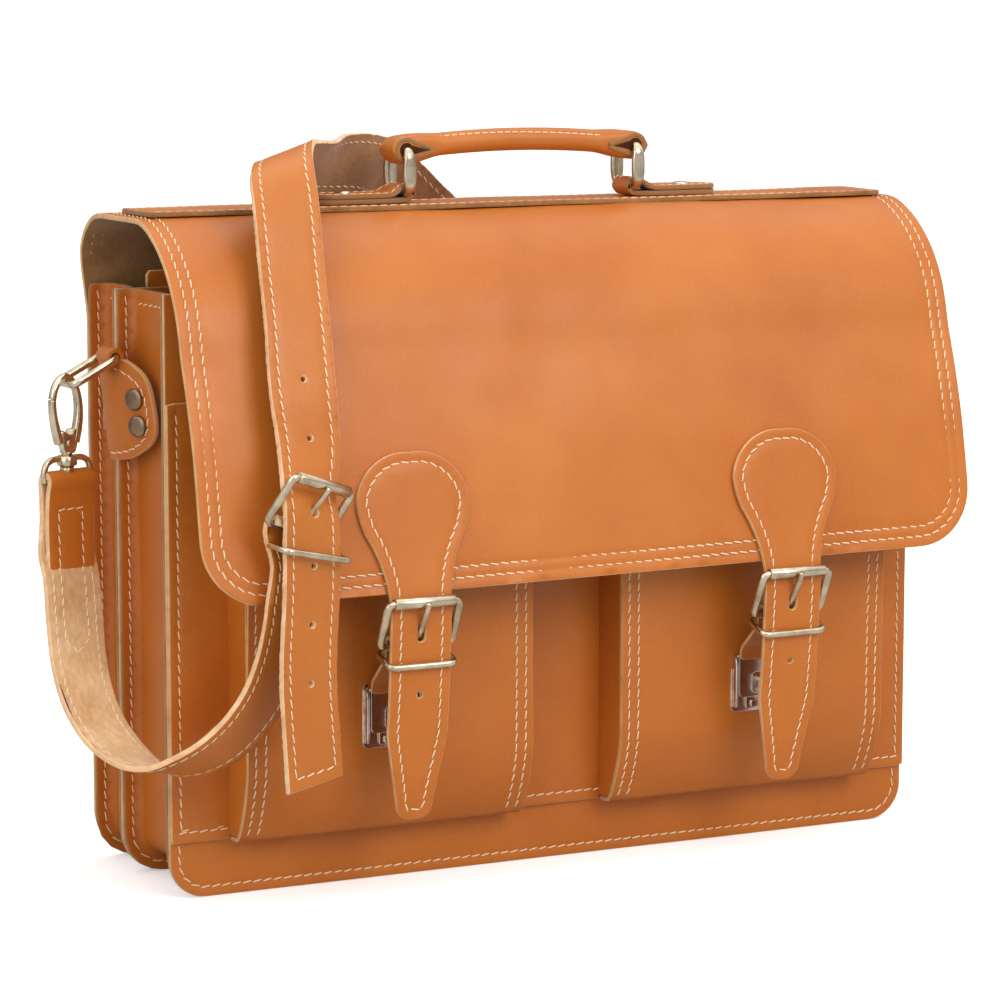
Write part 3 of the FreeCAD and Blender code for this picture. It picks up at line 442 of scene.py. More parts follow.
def leather(name, outline, where, thickness=2.5, seams=(), holes=(), rows=None, columns=None, step=7.0,
            materials=GRAINY, uneven=0.3, seed=1, rounding=1.0, fray=0.0):
    """A cut leather: grain face, rounded raw edge and flesh face, bent to its surface."""
    outline = np.asarray(outline, float)
    centre = (outline * np.roll(outline[:, ::-1] * [1, -1], -1, 0)).sum()
    if centre < 0:
        outline = outline[::-1]
    soft = min(thickness * 0.30, 0.75) * rounding
    profile = [(1.1 * soft, 0), (0.42 * soft, 0.09 * soft), (0.1 * soft, 0.4 * soft), (0, 0.9 * soft),
               (0, thickness - 0.9 * soft), (0.1 * soft, thickness - 0.4 * soft),
               (0.42 * soft, thickness - 0.08 * soft), (1.1 * soft, thickness)]
    loops = [outline] + [np.asarray(hole, float)[::-1] for hole in holes]
    rim = [inset(loop, profile[0][0]) for loop in loops]
    lo, hi = outline.min(0), outline.max(0)
    if columns is None:
        columns = np.linspace(lo[0], hi[0], max(2, int((hi[0] - lo[0]) / step)) + 1)[1:-1]
    if rows is None:
        rows = np.linspace(lo[1], hi[1], max(2, int((hi[1] - lo[1]) / step)) + 1)[1:-1]
    grid = np.stack(np.meshgrid(columns, rows), -1).reshape(-1, 2)
    marks = []
    for line in seams:
        fine = even(line, 3.0)
        marks += [fine] + [beside(fine, gap) for gap in (-0.9, 0.9)]
    marks = np.concatenate(marks) if marks else np.zeros((0, 2))
    edge_lines = [closed(loop) for loop in rim]
    for loop in rim:
        keep = inside(grid, loop) == (loop is rim[0])
        grid = grid[keep]
        if len(marks):
            marks = marks[inside(marks, loop) == (loop is rim[0])]
    grid = grid[distance(grid, edge_lines) > 1.2]
    if len(marks):
        marks = marks[distance(marks, edge_lines) > 0.4]
        grid = grid[distance(grid, list(seams)) > 1.5]
    border = np.concatenate(rim)
    counts = [len(loop) for loop in rim]
    edges = []
    start = 0
    for count in counts:
        edges += [(start + k, start + (k + 1) % count) for k in range(count)]
        start += count
    points = np.concatenate([border, marks, grid])
    found = delaunay_2d_cdt([Vector(p) for p in points.tolist()], edges, [], 0, 1e-6)
    flat = np.array([list(v) for v in found[0]])
    faces = np.array(found[2])
    alias = {}
    for index, sources in enumerate(found[3]):
        for source in sources:
            alias[source] = index
    middles = flat[faces].mean(1)
    keep = inside(middles, rim[0])
    for loop in rim[1:]:
        keep &= ~inside(middles, loop)
    faces = faces[keep]
    spin = np.cross(flat[faces[:, 1]] - flat[faces[:, 0]], flat[faces[:, 2]] - flat[faces[:, 0]])
    faces[spin < 0] = faces[spin < 0][:, ::-1]
    count = len(flat)

    def lifted(spots, depth):
        place, normal = where(spots)
        sunk = depth + belly(spots, uneven, seed)
        return place - normal * sunk[:, None]

    dent = 0.35 * np.exp(-(distance(flat, list(seams)) / 0.8) ** 2) if len(seams) else np.zeros(count)
    verts = [lifted(flat, dent), lifted(flat, np.full(count, float(thickness)))]
    uvs = [flat, flat]
    rings = []
    total = 2 * count
    rough = np.random.default_rng(seed)
    torn = rough.uniform(-fray, fray * 0.2, len(border))
    for amount, depth in profile[1:-1]:
        ring = np.concatenate([inset(loop, amount) for loop in loops])
        outwards = (ring - np.concatenate([inset(loop, amount + 1) for loop in loops]))
        ring = ring - outwards * (torn * (depth > thickness / 2))[:, None]
        ring_depth = depth + rough.uniform(-0.06, 0.06, len(ring))
        verts.append(lifted(ring, ring_depth))
        uvs.append(ring + [0, depth])
        rings.append(np.arange(len(ring)) + total)
        total += len(ring)
    top = np.array([alias[k] for k in range(len(border))])
    rings = [top] + rings + [top + count]
    all_faces = faces.tolist() + (faces[:, ::-1] + count).tolist()
    slots = [0] * len(faces) + [2] * len(faces)
    start = 0
    ring_slots = (0, 1, 1, 1, 1, 1, 2)
    for size in counts:
        here = np.arange(size) + start
        there = np.roll(here, -1)
        for slot, upper, lower in zip(ring_slots, rings, rings[1:]):
            quads = np.stack([upper[here], lower[here], lower[there], upper[there]], 1)
            all_faces += quads.tolist()
            slots += [slot] * size
        start += size
    return make(name, np.concatenate(verts), all_faces, materials, slots, np.concatenate(uvs))


def stitches(name, where, seams, depth=0.0, pitch=5.2, length=4.2, width=0.76, slant=10.0):
    """Threads laid one by one along seams; depth moves them to the flesh side (negative slant)."""
    centres, directions = [], []
    for line in seams:
        run = lengths(line)
        count = max(1, int(run[-1] / pitch))
        spots = (np.arange(count) + 0.5) * run[-1] / count
        centres.append(sample(spots, run, line))
        directions.append(unit(sample(spots + 1, run, line) - sample(spots - 1, run, line)))
    centres, directions = np.concatenate(centres), np.concatenate(directions)
    loose = np.random.default_rng(len(centres))
    angle = np.radians(slant + loose.normal(0, 2.0, len(centres)))
    cos, sin = np.cos(angle)[:, None], np.sin(angle)[:, None]
    sideways = np.stack([-directions[:, 1], directions[:, 0]], 1)
    heading = directions * cos + sideways * sin
    over = 1 if depth == 0 else -1
    sink = 0.2
    shape = [(-0.53, -0.75, 0.30), (-0.49, -0.25, 0.7), (-0.38, 0.05, 0.95), (0, 0.2, 1.05),
             (0.38, 0.05, 0.95), (0.49, -0.25, 0.7), (0.53, -0.75, 0.30)]
    sides = 6
    turns = np.arange(sides) * 2 * math.pi / sides
    verts = []
    for part, rise, fat in shape:
        flat = centres + heading * (part * length)
        place, normal = where(flat)
        step_place, _ = where(flat + heading * 0.3)
        along = unit(step_place - place)
        side = unit(np.cross(normal, along))
        middle = place - normal * (depth + over * sink) + normal * over * (rise * width * 0.5)
        radius = width / 2 * fat
        ring = [middle + side * (radius * math.cos(a)) + normal * (0.75 * radius * math.sin(a))
                for a in turns]
        verts.append(np.stack(ring, 1))
    grid = np.stack(verts, 1)
    stitch_count = len(centres)
    levels = len(shape)
    faces = []
    base = np.arange(stitch_count) * levels * sides
    for level in range(levels - 1):
        for k in range(sides):
            a = base + level * sides + k
            b = base + level * sides + (k + 1) % sides
            faces.append(np.stack([a, b, b + sides, a + sides], 1))
    faces = np.concatenate(faces).tolist()
    ends = [(base + k).tolist() for k in range(sides)]
    faces += [list(corner)[::-1] for corner in zip(*ends)]
    last = (levels - 1) * sides
    faces += [[c + last for c in corner] for corner in zip(*ends)]
    return make(name, grid.reshape(-1, 3), faces, (THREAD,))


def tube_faces(levels, sides, endless=False):
    """Faces of a tube of rings, its ends shut unless it is endless."""
    faces = []
    for level in range(levels if endless else levels - 1):
        here, there = level * sides, (level + 1) % levels * sides
        for k in range(sides):
            n = (k + 1) % sides
            faces.append([here + k, here + n, there + n, there + k])
    if not endless:
        faces.append(list(range(sides))[::-1])
        faces.append([(levels - 1) * sides + k for k in range(sides)])
    return faces


def squared(angles, power):
    """Cosine and sine of a circle (power 2) that squares up as the power grows."""
    return tuple(np.sign(v) * np.abs(v) ** (2 / power) for v in (np.cos(angles), np.sin(angles)))


def sweep(name, centres, face, wide, thick, material, closed_loop=False, power=2.0):
    """A bar along a curve; wide is its size along 'face', thick its size across both."""
    centres = np.asarray(centres, float)
    count, sides = len(centres), 16
    if closed_loop:
        slope = np.roll(centres, -1, 0) - np.roll(centres, 1, 0)
    else:
        slope = np.gradient(centres, axis=0)
    slope = unit(slope)
    face = unit(np.broadcast_to(np.asarray(face, float), centres.shape))
    over = unit(np.cross(slope, face))
    face = unit(np.cross(over, slope))
    wide, thick = (np.broadcast_to(np.asarray(v, float), (count,)) for v in (wide, thick))
    ca, sa = squared(np.arange(sides) * 2 * math.pi / sides, power)
    verts = (centres[:, None] + face[:, None] * (wide[:, None] / 2 * ca)[:, :, None]
             + over[:, None] * (thick[:, None] / 2 * sa)[:, :, None]).reshape(-1, 3)
    return make(name, verts, tube_faces(count, sides, closed_loop), (material,))


def turned(name, profile, base, axis, material, sides=32):
    """A turned piece: (radius, height) profile about an axis."""
    profile = np.array(profile, float)
    axis = unit(np.array(axis, float))
    across = unit(np.cross(axis, [0.31, 0.87, 0.38]))
    third = np.cross(axis, across)
    angles = np.arange(sides) * 2 * math.pi / sides
    circle = np.cos(angles)[:, None] * across + np.sin(angles)[:, None] * third
    verts = np.concatenate([np.asarray(base, float) + circle * r + axis * h for r, h in profile])
    return make(name, verts, tube_faces(len(profile), sides), (material,))


def rounded(width, height, corner):
    """A rounded rectangle outline about its middle, anticlockwise."""
    points = []
    for turn, (sx, sy) in enumerate(((1, 1), (-1, 1), (-1, -1), (1, -1))):
        centre = np.array([sx * (width / 2 - corner), sy * (height / 2 - corner)])
        angles = np.radians(90 * turn) + np.linspace(0, math.pi / 2, max(4, int(corner * 1.57 / 0.7)))
        points.append(centre + corner * np.stack([np.cos(angles), np.sin(angles)], 1))
    return np.concatenate(points)


def circle(x, y, radius, count=14):
    angles = np.arange(count) * 2 * math.pi / count
    return np.stack([x + radius * np.cos(angles), y + radius * np.sin(angles)], 1)


def wire_loop(name, outline, middle, right, up, size, power=2.3):
    """A closed bent brass wire whose plane outline is laid in space; size(line) gives (wide, thick)."""
    line = outlined(outline, 0.9)
    right, up = unit(np.array(right, float)), unit(np.array(up, float))
    centres = np.array(middle, float) + line[:, :1] * right + line[:, 1:] * up
    return sweep(name, centres, np.cross(right, up), *size(line), BRASS, True, power)


def joined(name, *objects):
    """Several meshes made one object."""
    verts, faces, slots, materials = [], [], [], []
    start = 0
    for item in objects:
        data = item.data
        verts += [tuple(v.co / MM) for v in data.vertices]
        faces += [[start + k for k in polygon.vertices] for polygon in data.polygons]
        for polygon in data.polygons:
            material = data.materials[polygon.material_index]
            if material not in materials:
                materials.append(material)
            slots.append(materials.index(material))
        start += len(data.vertices)
    for item in objects:
        bpy.data.objects.remove(item)
    return make(name, np.array(verts), faces, materials, slots)


def put(piece, body, slot, *nodes):
    """Hangs a piece on the body it rides on and hides the CAD nodes it stands for; slot, the finish, is not
    used.
    """
    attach(piece, body)
    if nodes:
        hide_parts(*nodes)
    return piece


def sewn(name, body, node, outline, where, seams, bartacks=(), **more):
    """A leather and the threads of its seams."""
    put(leather(name + "_leather", outline, where, seams=seams, **more), body, "leather", node)
    put(stitches(name + "_stitches", where, seams + list(bartacks)), body, "leather")


# ---------------------------------------------------------------- body panels

def corner_arc(x, y, radius):
    """A rounded lower left corner whose sides would meet at (x, y)."""
    turns = np.linspace(0, math.pi / 2, 12)
    return np.stack([x + radius - radius * np.cos(turns), y + radius - radius * np.sin(turns)], 1)


def pan_outline(half, top, corner):
    """A panel with rounded bottom corners, anticlockwise."""
    left = corner_arc(-half, 0, corner)
    sides = np.arange(corner + 6, top - 3, 6.0)
    lower = np.arange(-half + corner + 6, half - corner - 3, 6.0)
    crown = np.arange(-half + 6, half - 3, 6.0)
    return np.concatenate([left, np.stack([lower, 0 * lower], 1), (left * [-1, 1])[::-1],
                           np.stack([np.full(len(sides), half), sides], 1), [[half, top]],
                           np.stack([crown, np.full(len(crown), top)], 1)[::-1], [[-half, top]],
                           np.stack([np.full(len(sides), -half), sides], 1)[::-1]])


def u_seam(half, top, corner, gap):
    """The seam along a panel's sides and bottom, at a distance from its edge."""
    left = corner_arc(-half + gap, gap, max(corner - gap, 2.0))
    right = (left * [-1, 1])[::-1]
    return np.concatenate([[[-half + gap, top]], left, right, [[half - gap, top]]])


BODY_HALF = 200.0
SEAM = 4.7


def body_panels():
    face = plane((0, -62.5, 0), (1, 0, 0), (0, 0, 1))
    front_seam = u_seam(BODY_HALF, 26, 18, SEAM)
    sewn("front_panel", "root", "front_panel", pan_outline(BODY_HALF, 283, 18), face, [front_seam], seed=3,
         uneven=0.25)

    high = plane((0, -65, 0), (1, 0, 0), (0, 0, 1))
    half = BODY_HALF
    outline = outlined([[-half, 27], [half, 27], [half, 233], [-half, 233]], 5.0)
    sides = [np.array([[x, 228.0], [x, 33.0]]) for x in (-half + SEAM, half - SEAM)]
    ledge = [np.array([[start, 32.0], [end, 32.0]])
             for start, end in ((-half + 3, -171.0), (171.0, half - 3), (-26.0, 26.0))]
    bartack = [np.array([[start, 33.2], [end, 33.2]])
               for start, end in ((-half + 3, -half + 11), (-180.0, -171.0), (171.0, 180.0))]
    sewn("front_pocket_panel", "root", "front_pocket_panel", outline, high, sides + ledge, bartack, seed=4)

    rise = pan_outline(BODY_HALF, 281, 20)
    body = [list(p) for p in rise if not (p[1] >= 280.9 and abs(p[0]) < 184)]
    index = next(k for k, p in enumerate(body) if p[1] >= 280.9 and p[0] < 184.5)
    crown = np.arange(178, -180, -6.0)
    raised = ([[184.0, 281.0], [184.0, 287.0], [182.5, 289.0]] + [[x, 289.0] for x in crown]
              + [[-182.5, 289.0], [-184.0, 287.0], [-184.0, 281.0]])
    outline = np.array(body[:index] + raised + body[index:])
    middle = plane((0, -1.25, 0), (1, 0, 0), (0, 0, 1))
    panel = leather("divider_leather", outline, middle, seed=5, uneven=0.3,
                    materials=(GRAIN, EDGE, GRAIN))
    put(panel, "root", "leather", "divider_panel")


def gusset_surface(front, back):
    """Section across (flange, wall, flange) carried along the U of sides and bottom."""
    top, corner = 281.0, 11.0
    section = Track([(9, front + 2.5), (2.6, front + 2.5), ("arc", (0.8, front + 3.3), (0, front + 5.1)),
                     (0, back - 5.1), ("arc", (0.8, back - 3.3), (2.6, back - 2.5)), (9, back - 2.5)],
                    0.6)
    wall = 191.0
    course = Track([(-wall, top), (-wall, 9 + corner),
                    ("arc", (-wall + 0.293 * corner, 9 + 0.293 * corner), (-wall + corner, 9)),
                    (wall - corner, 9),
                    ("arc", (wall - 0.293 * corner, 9 + 0.293 * corner), (wall, 9 + corner)),
                    (wall, top)], 1.0)

    def where(flat):
        out, tilt = section.at(flat[:, 0])
        base, away = course.at(flat[:, 1])
        reach = section.length
        fold = np.sin(np.clip(flat[:, 0] / reach, 0, 1) * math.pi) ** 2
        out_by = out[:, 0] - 1.6 * fold
        place = np.stack([base[:, 0] + away[:, 0] * out_by, out[:, 1], base[:, 1] + away[:, 1] * out_by], 1)
        normal = np.stack([away[:, 0] * tilt[:, 0], tilt[:, 1], away[:, 1] * tilt[:, 0]], 1)
        return place, unit(normal)
    return where, section, course


def gusset(name, front, back, seed):
    where, section, course = gusset_surface(front, back)
    wide, long = section.length, course.length
    outline = outlined([[0, 0], [wide, 0], [wide, long], [0, long]], 4.0)
    edges = [np.array([[gap, 3.0], [gap, long - 3.0]]) for gap in (4.3, wide - 4.3)]
    hem = [np.array([[9.5, end], [wide - 9.5, end]]) for end in (7.0, long - 7.0)]
    sewn(name, "root", name, outline, where, edges + hem, columns=section.rows(9.0, 14.0),
         rows=course.rows(8.0, 9.0), seed=seed, uneven=0.25, materials=DRESSED)


# ---------------------------------------------------------------- back panel and flap, one leather

FLAP_PATH = [(38.5, 0), (38.5, 290), ("arc", (29.5, 308), (6, 316.5)), (-42, 316.5),
             ("arc", (-72, 300), (-94, 257)), ("arc", (-102, 233.5), (-108.3, 210)), (-120.3, 146.5)]
FLAP = Track(FLAP_PATH, 4.0)
FLAP_SURFACE = across_x(FLAP)
FLAP_HALF = 204.0


def flap_width(t):
    return np.interp(t, [0, 266, 300, 1000], [BODY_HALF, BODY_HALF, FLAP_HALF, FLAP_HALF])


def flap_end(s):
    """The flap's lower edge hangs a little lower at the left than at the right."""
    return FLAP.length - 0.5 + np.interp(s, [-FLAP_HALF, FLAP_HALF], [1.6, -2.6])


def flap_line(gap, corner, first):
    """A line round the flap, at a distance from its edge, from length 'first' on one side to the other."""
    r = max(corner - gap, 3.0)
    turns = np.linspace(0, math.pi / 2, 14)
    side = np.arange(first, FLAP.length - corner - 4, 5.0)
    start = np.stack([gap - flap_width(side), side], 1)
    x0 = -FLAP_HALF + gap + r
    y0 = flap_end(x0) - gap - r
    left = np.stack([x0 - r * np.cos(turns), y0 + r * np.sin(turns)], 1)
    x1 = -x0
    y1 = flap_end(x1) - gap - r
    right = np.stack([x1 + r * np.sin(turns), y1 + r * np.cos(turns)], 1)
    across = np.arange(x0 + 5, x1 - 4, 5.0)
    bottom = np.stack([across, flap_end(across) - gap], 1)
    return np.concatenate([start, left, bottom, right, (start * [-1, 1])[::-1]])


def flap_and_back():
    corner = 24.0
    left = corner_arc(-BODY_HALF, 0, corner)
    lower = np.arange(-BODY_HALF + corner + 5, BODY_HALF - corner - 3, 5.0)
    bottom = np.concatenate([left, np.stack([lower, 0 * lower], 1), (left * [-1, 1])[::-1]])
    outline = np.concatenate([bottom, flap_line(0, 30.0, corner + 5)[::-1]])
    back_seam = u_seam(BODY_HALF, 281, 24, SEAM)
    rows = [flap_line(gap, 30.0, 284.0) for gap in (5.0, 10.0)]
    leather_piece = leather("flap_and_back_leather", outline, FLAP_SURFACE, seams=[back_seam] + rows,
                            rows=FLAP.rows(7.0, 5.0), seed=11, uneven=0.55)
    outside = stitches("flap_and_back_stitches", FLAP_SURFACE, [back_seam] + rows)
    under = stitches("flap_under_stitches", FLAP_SURFACE, rows, depth=2.5)
    for piece in (leather_piece, outside, under):
        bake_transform(piece)
    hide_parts("back_panel", "flap")


# ---------------------------------------------------------------- front pockets

def pocket(side, sign):
    reach = 73.7
    middle = sign * (24 + reach)
    track = Track([(-89, 172), (-89, 62), ("arc", (-84.4, 43.5), (-76, 27)), (-65, 27)], 2.0)
    tallest = track.length

    def where(flat):
        place, normal = track.at(flat[:, 1])
        zero = np.zeros(len(flat))
        flare = 2.6 * np.clip((flat[:, 0] * sign - 40) / 34, 0, 1) ** 2 * np.clip(1 - flat[:, 1] / 70, 0, 1)
        swell = 1.2 * np.sin(np.clip(flat[:, 1] / 120, 0, 1) * math.pi) * (1 - (flat[:, 0] / reach) ** 2)
        return (np.stack([middle + flat[:, 0], place[:, 0] - swell - flare, place[:, 1]], 1),
                np.stack([zero, normal[:, 0], normal[:, 1]], 1))

    outline = outlined([[-reach, 0], [reach, 0], [reach, tallest], [-reach, tallest]], 4.0)
    lines = [np.array([[s, 3.0], [s, tallest - 14]])
             for s in (-reach + 4, -reach + 9, reach - 9, reach - 4)]
    sewn(side + "_pocket", "root", side + "_pocket_front", outline, where, lines, thickness=2.0,
         rows=track.rows(7.0, 7.0), seed=20 + sign)
    inner = drawn([(-86.7, 171), (-86.7, 62), ("arc", (-82.4, 44.5), (-75.2, 29.3)), (-65, 29.3)], 3.0)
    wall = np.concatenate([inner, [[-65, 60], [-65, 100], [-65, 140], [-65, 171], [-75, 170]]])
    for wall_side, offset in (("left", -reach), ("right", reach - 2)):
        face = plane((middle + offset, 0, 0), (0, 1, 0), (0, 0, 1))
        leaf = leather("%s_pocket_wall_%s" % (side, wall_side), wall, lambda flat, f=face: shifted(f, flat),
                       thickness=2.0, seed=31, uneven=0.2, materials=(GRAIN, EDGE, GRAIN))
        put(leaf, "root", "leather", "%s_pocket_gusset_%s" % (side, wall_side))


def shifted(face, flat):
    """The surface moved out by a wall's thickness, so that it grows back to the plane."""
    place, normal = face(flat)
    return place + 2.0 * normal, normal


# ---------------------------------------------------------------- top strip and handle

HANDLE_Y = -22.0
RING_X = 62.0
GRIP_LEVEL = 344.3


def top_strip():
    top = plane((0, HANDLE_Y, 319), (1, 0, 0), (0, 1, 0))
    outline = outlined([[-198, -19], [198, -19], [198, 19], [-198, 19]], 5.0)
    seam = [np.array([[-195, -16], [195, -16]]), np.array([[195, 16], [-195, 16]])]
    sewn("top_strip", "flap", "top_strip", outline, top, seam, seed=41, uneven=0.25, materials=DRESSED)


def handle_tab(side, sign):
    """Two plies sewn on the strip, the upper one folded round the ring's lower bar."""
    x, z, bottom = sign * RING_X, 323.9, 319.1
    upper = Track([(-4.6, z - 1.2), ("arc", (-3.1, z + 3.4), (1.2, z + 4.6)), (4.0, z + 3.6),
                   (9.0, bottom + 5.1), (47.0, bottom + 5.1)], 1.0, side=-1)
    lower = Track([(-4.6, z + 1.0), ("arc", (-3.0, z - 3.3), (0.5, z - 4.6)), (5.0, bottom + 0.05),
                   (47.0, bottom + 0.05)], 0.8)

    def laid(track):
        def where(flat):
            place, normal = track.at(flat[:, 1])
            return (np.stack([x + sign * place[:, 0], HANDLE_Y + flat[:, 0], place[:, 1]], 1),
                    np.stack([sign * normal[:, 0], 0 * normal[:, 0], normal[:, 1]], 1))
        return where

    def outline(track):
        long = track.length
        near = np.array([[-8.0, 0], [8.0, 0], [8.0, 9.0], [9.5, 13.0], [11.0, 16.0]])
        turns = np.linspace(0, math.pi, 14)
        cap = np.stack([11 * np.cos(turns), long - 8 + 8 * np.sin(turns)], 1)
        far = np.array([[-11.0, 16.0], [-9.5, 13.0], [-8.0, 9.0]])
        return outlined(np.concatenate([near, cap, far]), 2.0)

    seam = inset(outline(upper), 2.8)
    seam = seam[seam[:, 1] > 5]
    start = int(np.argmax(np.linalg.norm(np.roll(seam, -1, 0) - seam, axis=1))) + 1
    seam = np.roll(seam, -start, 0)
    plies = [leather("ply", outline(track), laid(track), thickness=2.4, seams=[seam], step=4.0,
                     rows=track.rows(4.0, 12.0), seed=44 + sign, uneven=0.15, materials=DRESSED)
             for track in (upper, lower)]
    tab = joined("handle_tab_leather_" + side, *plies)
    put(tab, "flap", "leather", "handle_tab_" + side)
    put(stitches("handle_tab_stitches_" + side, laid(upper), [seam], pitch=4.2, length=3.4), "flap",
        "leather")
    stud = turned("handle_stud_dome_" + side,
                  [(4.2, -0.3), (4.2, 0.2), (3.7, 0.75), (2.4, 1.2), (0.05, 1.35)],
                  (x + sign * 30, HANDLE_Y, bottom + 5.0), (0, 0, 1), NICKEL)
    put(stud, "flap", "antique_brass", "handle_stud_" + side)


def handle_ring(side, sign):
    """A cast rectangular ring with broad legs."""
    def fullness(line):
        leg = (np.clip((np.abs(line[:, 0]) - 8.0) / 2.6, 0, 1)
               * np.clip(1.35 - np.abs(line[:, 1]) / 9.0, 0, 1))
        return 4.3 + 2.6 * leg, 4.2 - 0.6 * leg
    ring = wire_loop("handle_ring_cast_" + side, rounded(22, 20.4, 4.5), (sign * RING_X, HANDLE_Y, 334.1),
                     (0, 1, 0), (0, 0, 1), fullness, 2.4)
    put(ring, "handle_ring_" + side, "antique_brass", "handle_ring_" + side)


def grip_level(gone):
    """Height of the grip's middle line at a distance from its centre."""
    return GRIP_LEVEL + 3.7 * (1 - np.clip(gone / RING_X, 0, 1) ** 2)


def grip():
    """The rolled grip: round in the middle, flattened to a band that is folded round each ring."""
    x = np.concatenate([[-69.0], np.linspace(-68.5, -54, 14), np.linspace(-52, 52, 40),
                        np.linspace(54, 68.5, 14), [69.0]])
    gone = np.abs(x)
    near = eased(np.clip((gone - 40) / 18, 0, 1))
    z = grip_level(gone) - 0.3 * near
    cap = np.sqrt(np.clip(1 - (np.clip(gone - 61.8, 0, None) / 7.25) ** 2, 0.0004, 1))
    tall = (5.5 + 1.5 * near) * cap
    deep = 5.6 + 2.4 * near
    sides = 40
    angles = np.arange(sides) * 2 * math.pi / sides
    verts = []
    for k in range(len(x)):
        power = 2.0 + 2.5 * near[k]
        ca, sa = squared(angles, power)
        seam = 0.45 * np.exp(-((angles - 2.50) / 0.10) ** 2)
        verts.append(np.stack([np.full(sides, x[k]), HANDLE_Y + (deep[k] - seam) * ca,
                               z[k] + (tall[k] - seam * cap[k]) * sa], 1))
    verts = np.concatenate(verts)
    uv = np.stack([verts[:, 0], np.tile(angles * 6, len(x))], 1)
    roll = make("handle_grip_roll", verts, tube_faces(len(x), sides), (STRAP,), None, uv)
    put(roll, "handle_grip", "leather", "handle_grip")

    def upper_front(flat):
        wave = 2.42 + 0.12 * np.sin(flat[:, 0] / 31)
        away = np.abs(flat[:, 0])
        end = eased(np.clip((away - 40) / 18, 0, 1))
        level = grip_level(away) - 0.3 * end
        place = np.stack([flat[:, 0], HANDLE_Y + (5.6 + 2.4 * end) * np.cos(wave),
                          level + (5.5 + 1.5 * end) * np.sin(wave)], 1)
        return place, np.stack([0 * wave, np.cos(wave), np.sin(wave)], 1)
    line = np.stack([np.linspace(-53, 53, 60), np.zeros(60)], 1)
    put(stitches("handle_grip_stitches", upper_front, [line], pitch=4.0, length=3.2, slant=0, width=0.7),
        "handle_grip", "leather")
    for side, sign in SIDES.items():
        for end, face in (("front", -1), ("rear", 1)):
            wrap_edge(side, sign, end, face)


def wrap_edge(side, sign, end, face):
    """The cut edge of the leather folded round a ring, seen at the side of the grip."""
    x, level = sign * RING_X, 344.1
    turns = np.linspace(math.radians(140), math.radians(-140), 24)
    curve = np.stack([sign * 5.4 * np.cos(turns), 5.4 * np.sin(turns)], 1)
    tail = np.array([[-sign * 9.0, 2.4], [-sign * 14.0, 0.4]])
    line = np.concatenate([tail[::-1], curve, (tail * [1, -1])])
    centres = np.stack([x + line[:, 0], np.full(len(line), HANDLE_Y + face * 7.9), level + line[:, 1]], 1)
    edge = sweep("grip_wrap_edge_%s_%s" % (side, end), softened(centres, 1.2, 0.8), (0, 1, 0), 1.2, 2.0,
                 BURNISHED, power=3.5)
    put(edge, "handle_grip", "leather")
    # Painted shade: a dark sheet just behind the folded edge stands in for the shadow inside the fold's
    # hollow.
    hollow = np.stack([x + np.concatenate([sign * 3.6 * np.cos(turns), [-sign * 11.0]]),
                       level + np.concatenate([3.6 * np.sin(turns), [0.0]])], 1)
    back = plane((0, HANDLE_Y + face * 8.12, 0), (face * -1.0, 0, 0), (0, 0, 1))
    shape = hollow * [face * -1.0, 1]
    dark = leather("grip_wrap_hollow_%s_%s" % (side, end), shape, back, thickness=0.4, step=2.0,
                   materials=(PAINTED_HOLLOW_SHADE, PAINTED_HOLLOW_SHADE, PAINTED_HOLLOW_SHADE), uneven=0, rounding=0.3)
    put(dark, "handle_grip", "leather")


# ---------------------------------------------------------------- closure straps, buckles and locks

CLOSURE_X = 99.0


def closure_half():
    """Right half of the closure strap's outline by level: (half width, level)."""
    return drawn([(0.01, 39.2), ("arc", (6.6, 40.6), (9.2, 47)), (15.25, 80), (15.25, 142),
                  ("arc", (18.65, 160), (25.25, 174)), ("arc", (27.5, 181.5), (28.5, 189)),
                  ("arc", (20.5, 203.5), (0.01, 210))], 2.5)


CLOSURE = Track([(-107.97, 212), (-120.3, 146.8), ("arc", (-121.1, 139), (-121.2, 131)), (-119, 100),
                 (-111.5, 38)], 3.0)


def closure_length(level):
    """Length along the closure strap at a level above the ground."""
    return np.interp(-level, -CLOSURE.points[:, 1], CLOSURE.run)


def closure_strap(side, sign):
    middle = sign * CLOSURE_X

    def where(flat):
        place, normal = CLOSURE.at(flat[:, 1])
        normal = np.where(normal[:, :1] > 0, -normal, normal)
        place = place + normal * 2.5
        return (np.stack([middle + flat[:, 0], place[:, 0], place[:, 1]], 1),
                np.stack([0 * normal[:, 0], normal[:, 0], normal[:, 1]], 1))
    half = closure_half()
    half = np.stack([half[:, 0], closure_length(half[:, 1])], 1)
    outline = np.concatenate([half, (half * [-1, 1])[::-1][1:-1]])
    outline = outlined(outline, 2.5)
    if (np.roll(outline[:, ::-1] * [1, -1], -1, 0) * outline).sum() < 0:
        outline = outline[::-1]
    seam = closed(inset(outline, 4.8))
    upper, lower = (circle(0, closure_length(level), 2.0, 12) for level in (132.6, 126.0))
    slot_outline = np.concatenate([lower[:7], upper[6:], upper[:1]])
    hole = circle(0, closure_length(99.0), 1.5)
    strap = leather("closure_strap_leather_" + side, outline, where, seams=[seam],
                    holes=[slot_outline, hole], rows=CLOSURE.rows(5.0, 6.0), step=5.0, seed=51 + sign)
    put(strap, "flap", "leather", "closure_strap_" + side)
    put(stitches("closure_strap_stitches_" + side, where, [seam], pitch=4.9), "flap", "leather")


TILT = math.radians(24.7)
BAR = np.array([0.0, -116.5, 121.5])
ROLLER = BAR + 23.5 * np.array([0, -math.sin(TILT), math.cos(TILT)])


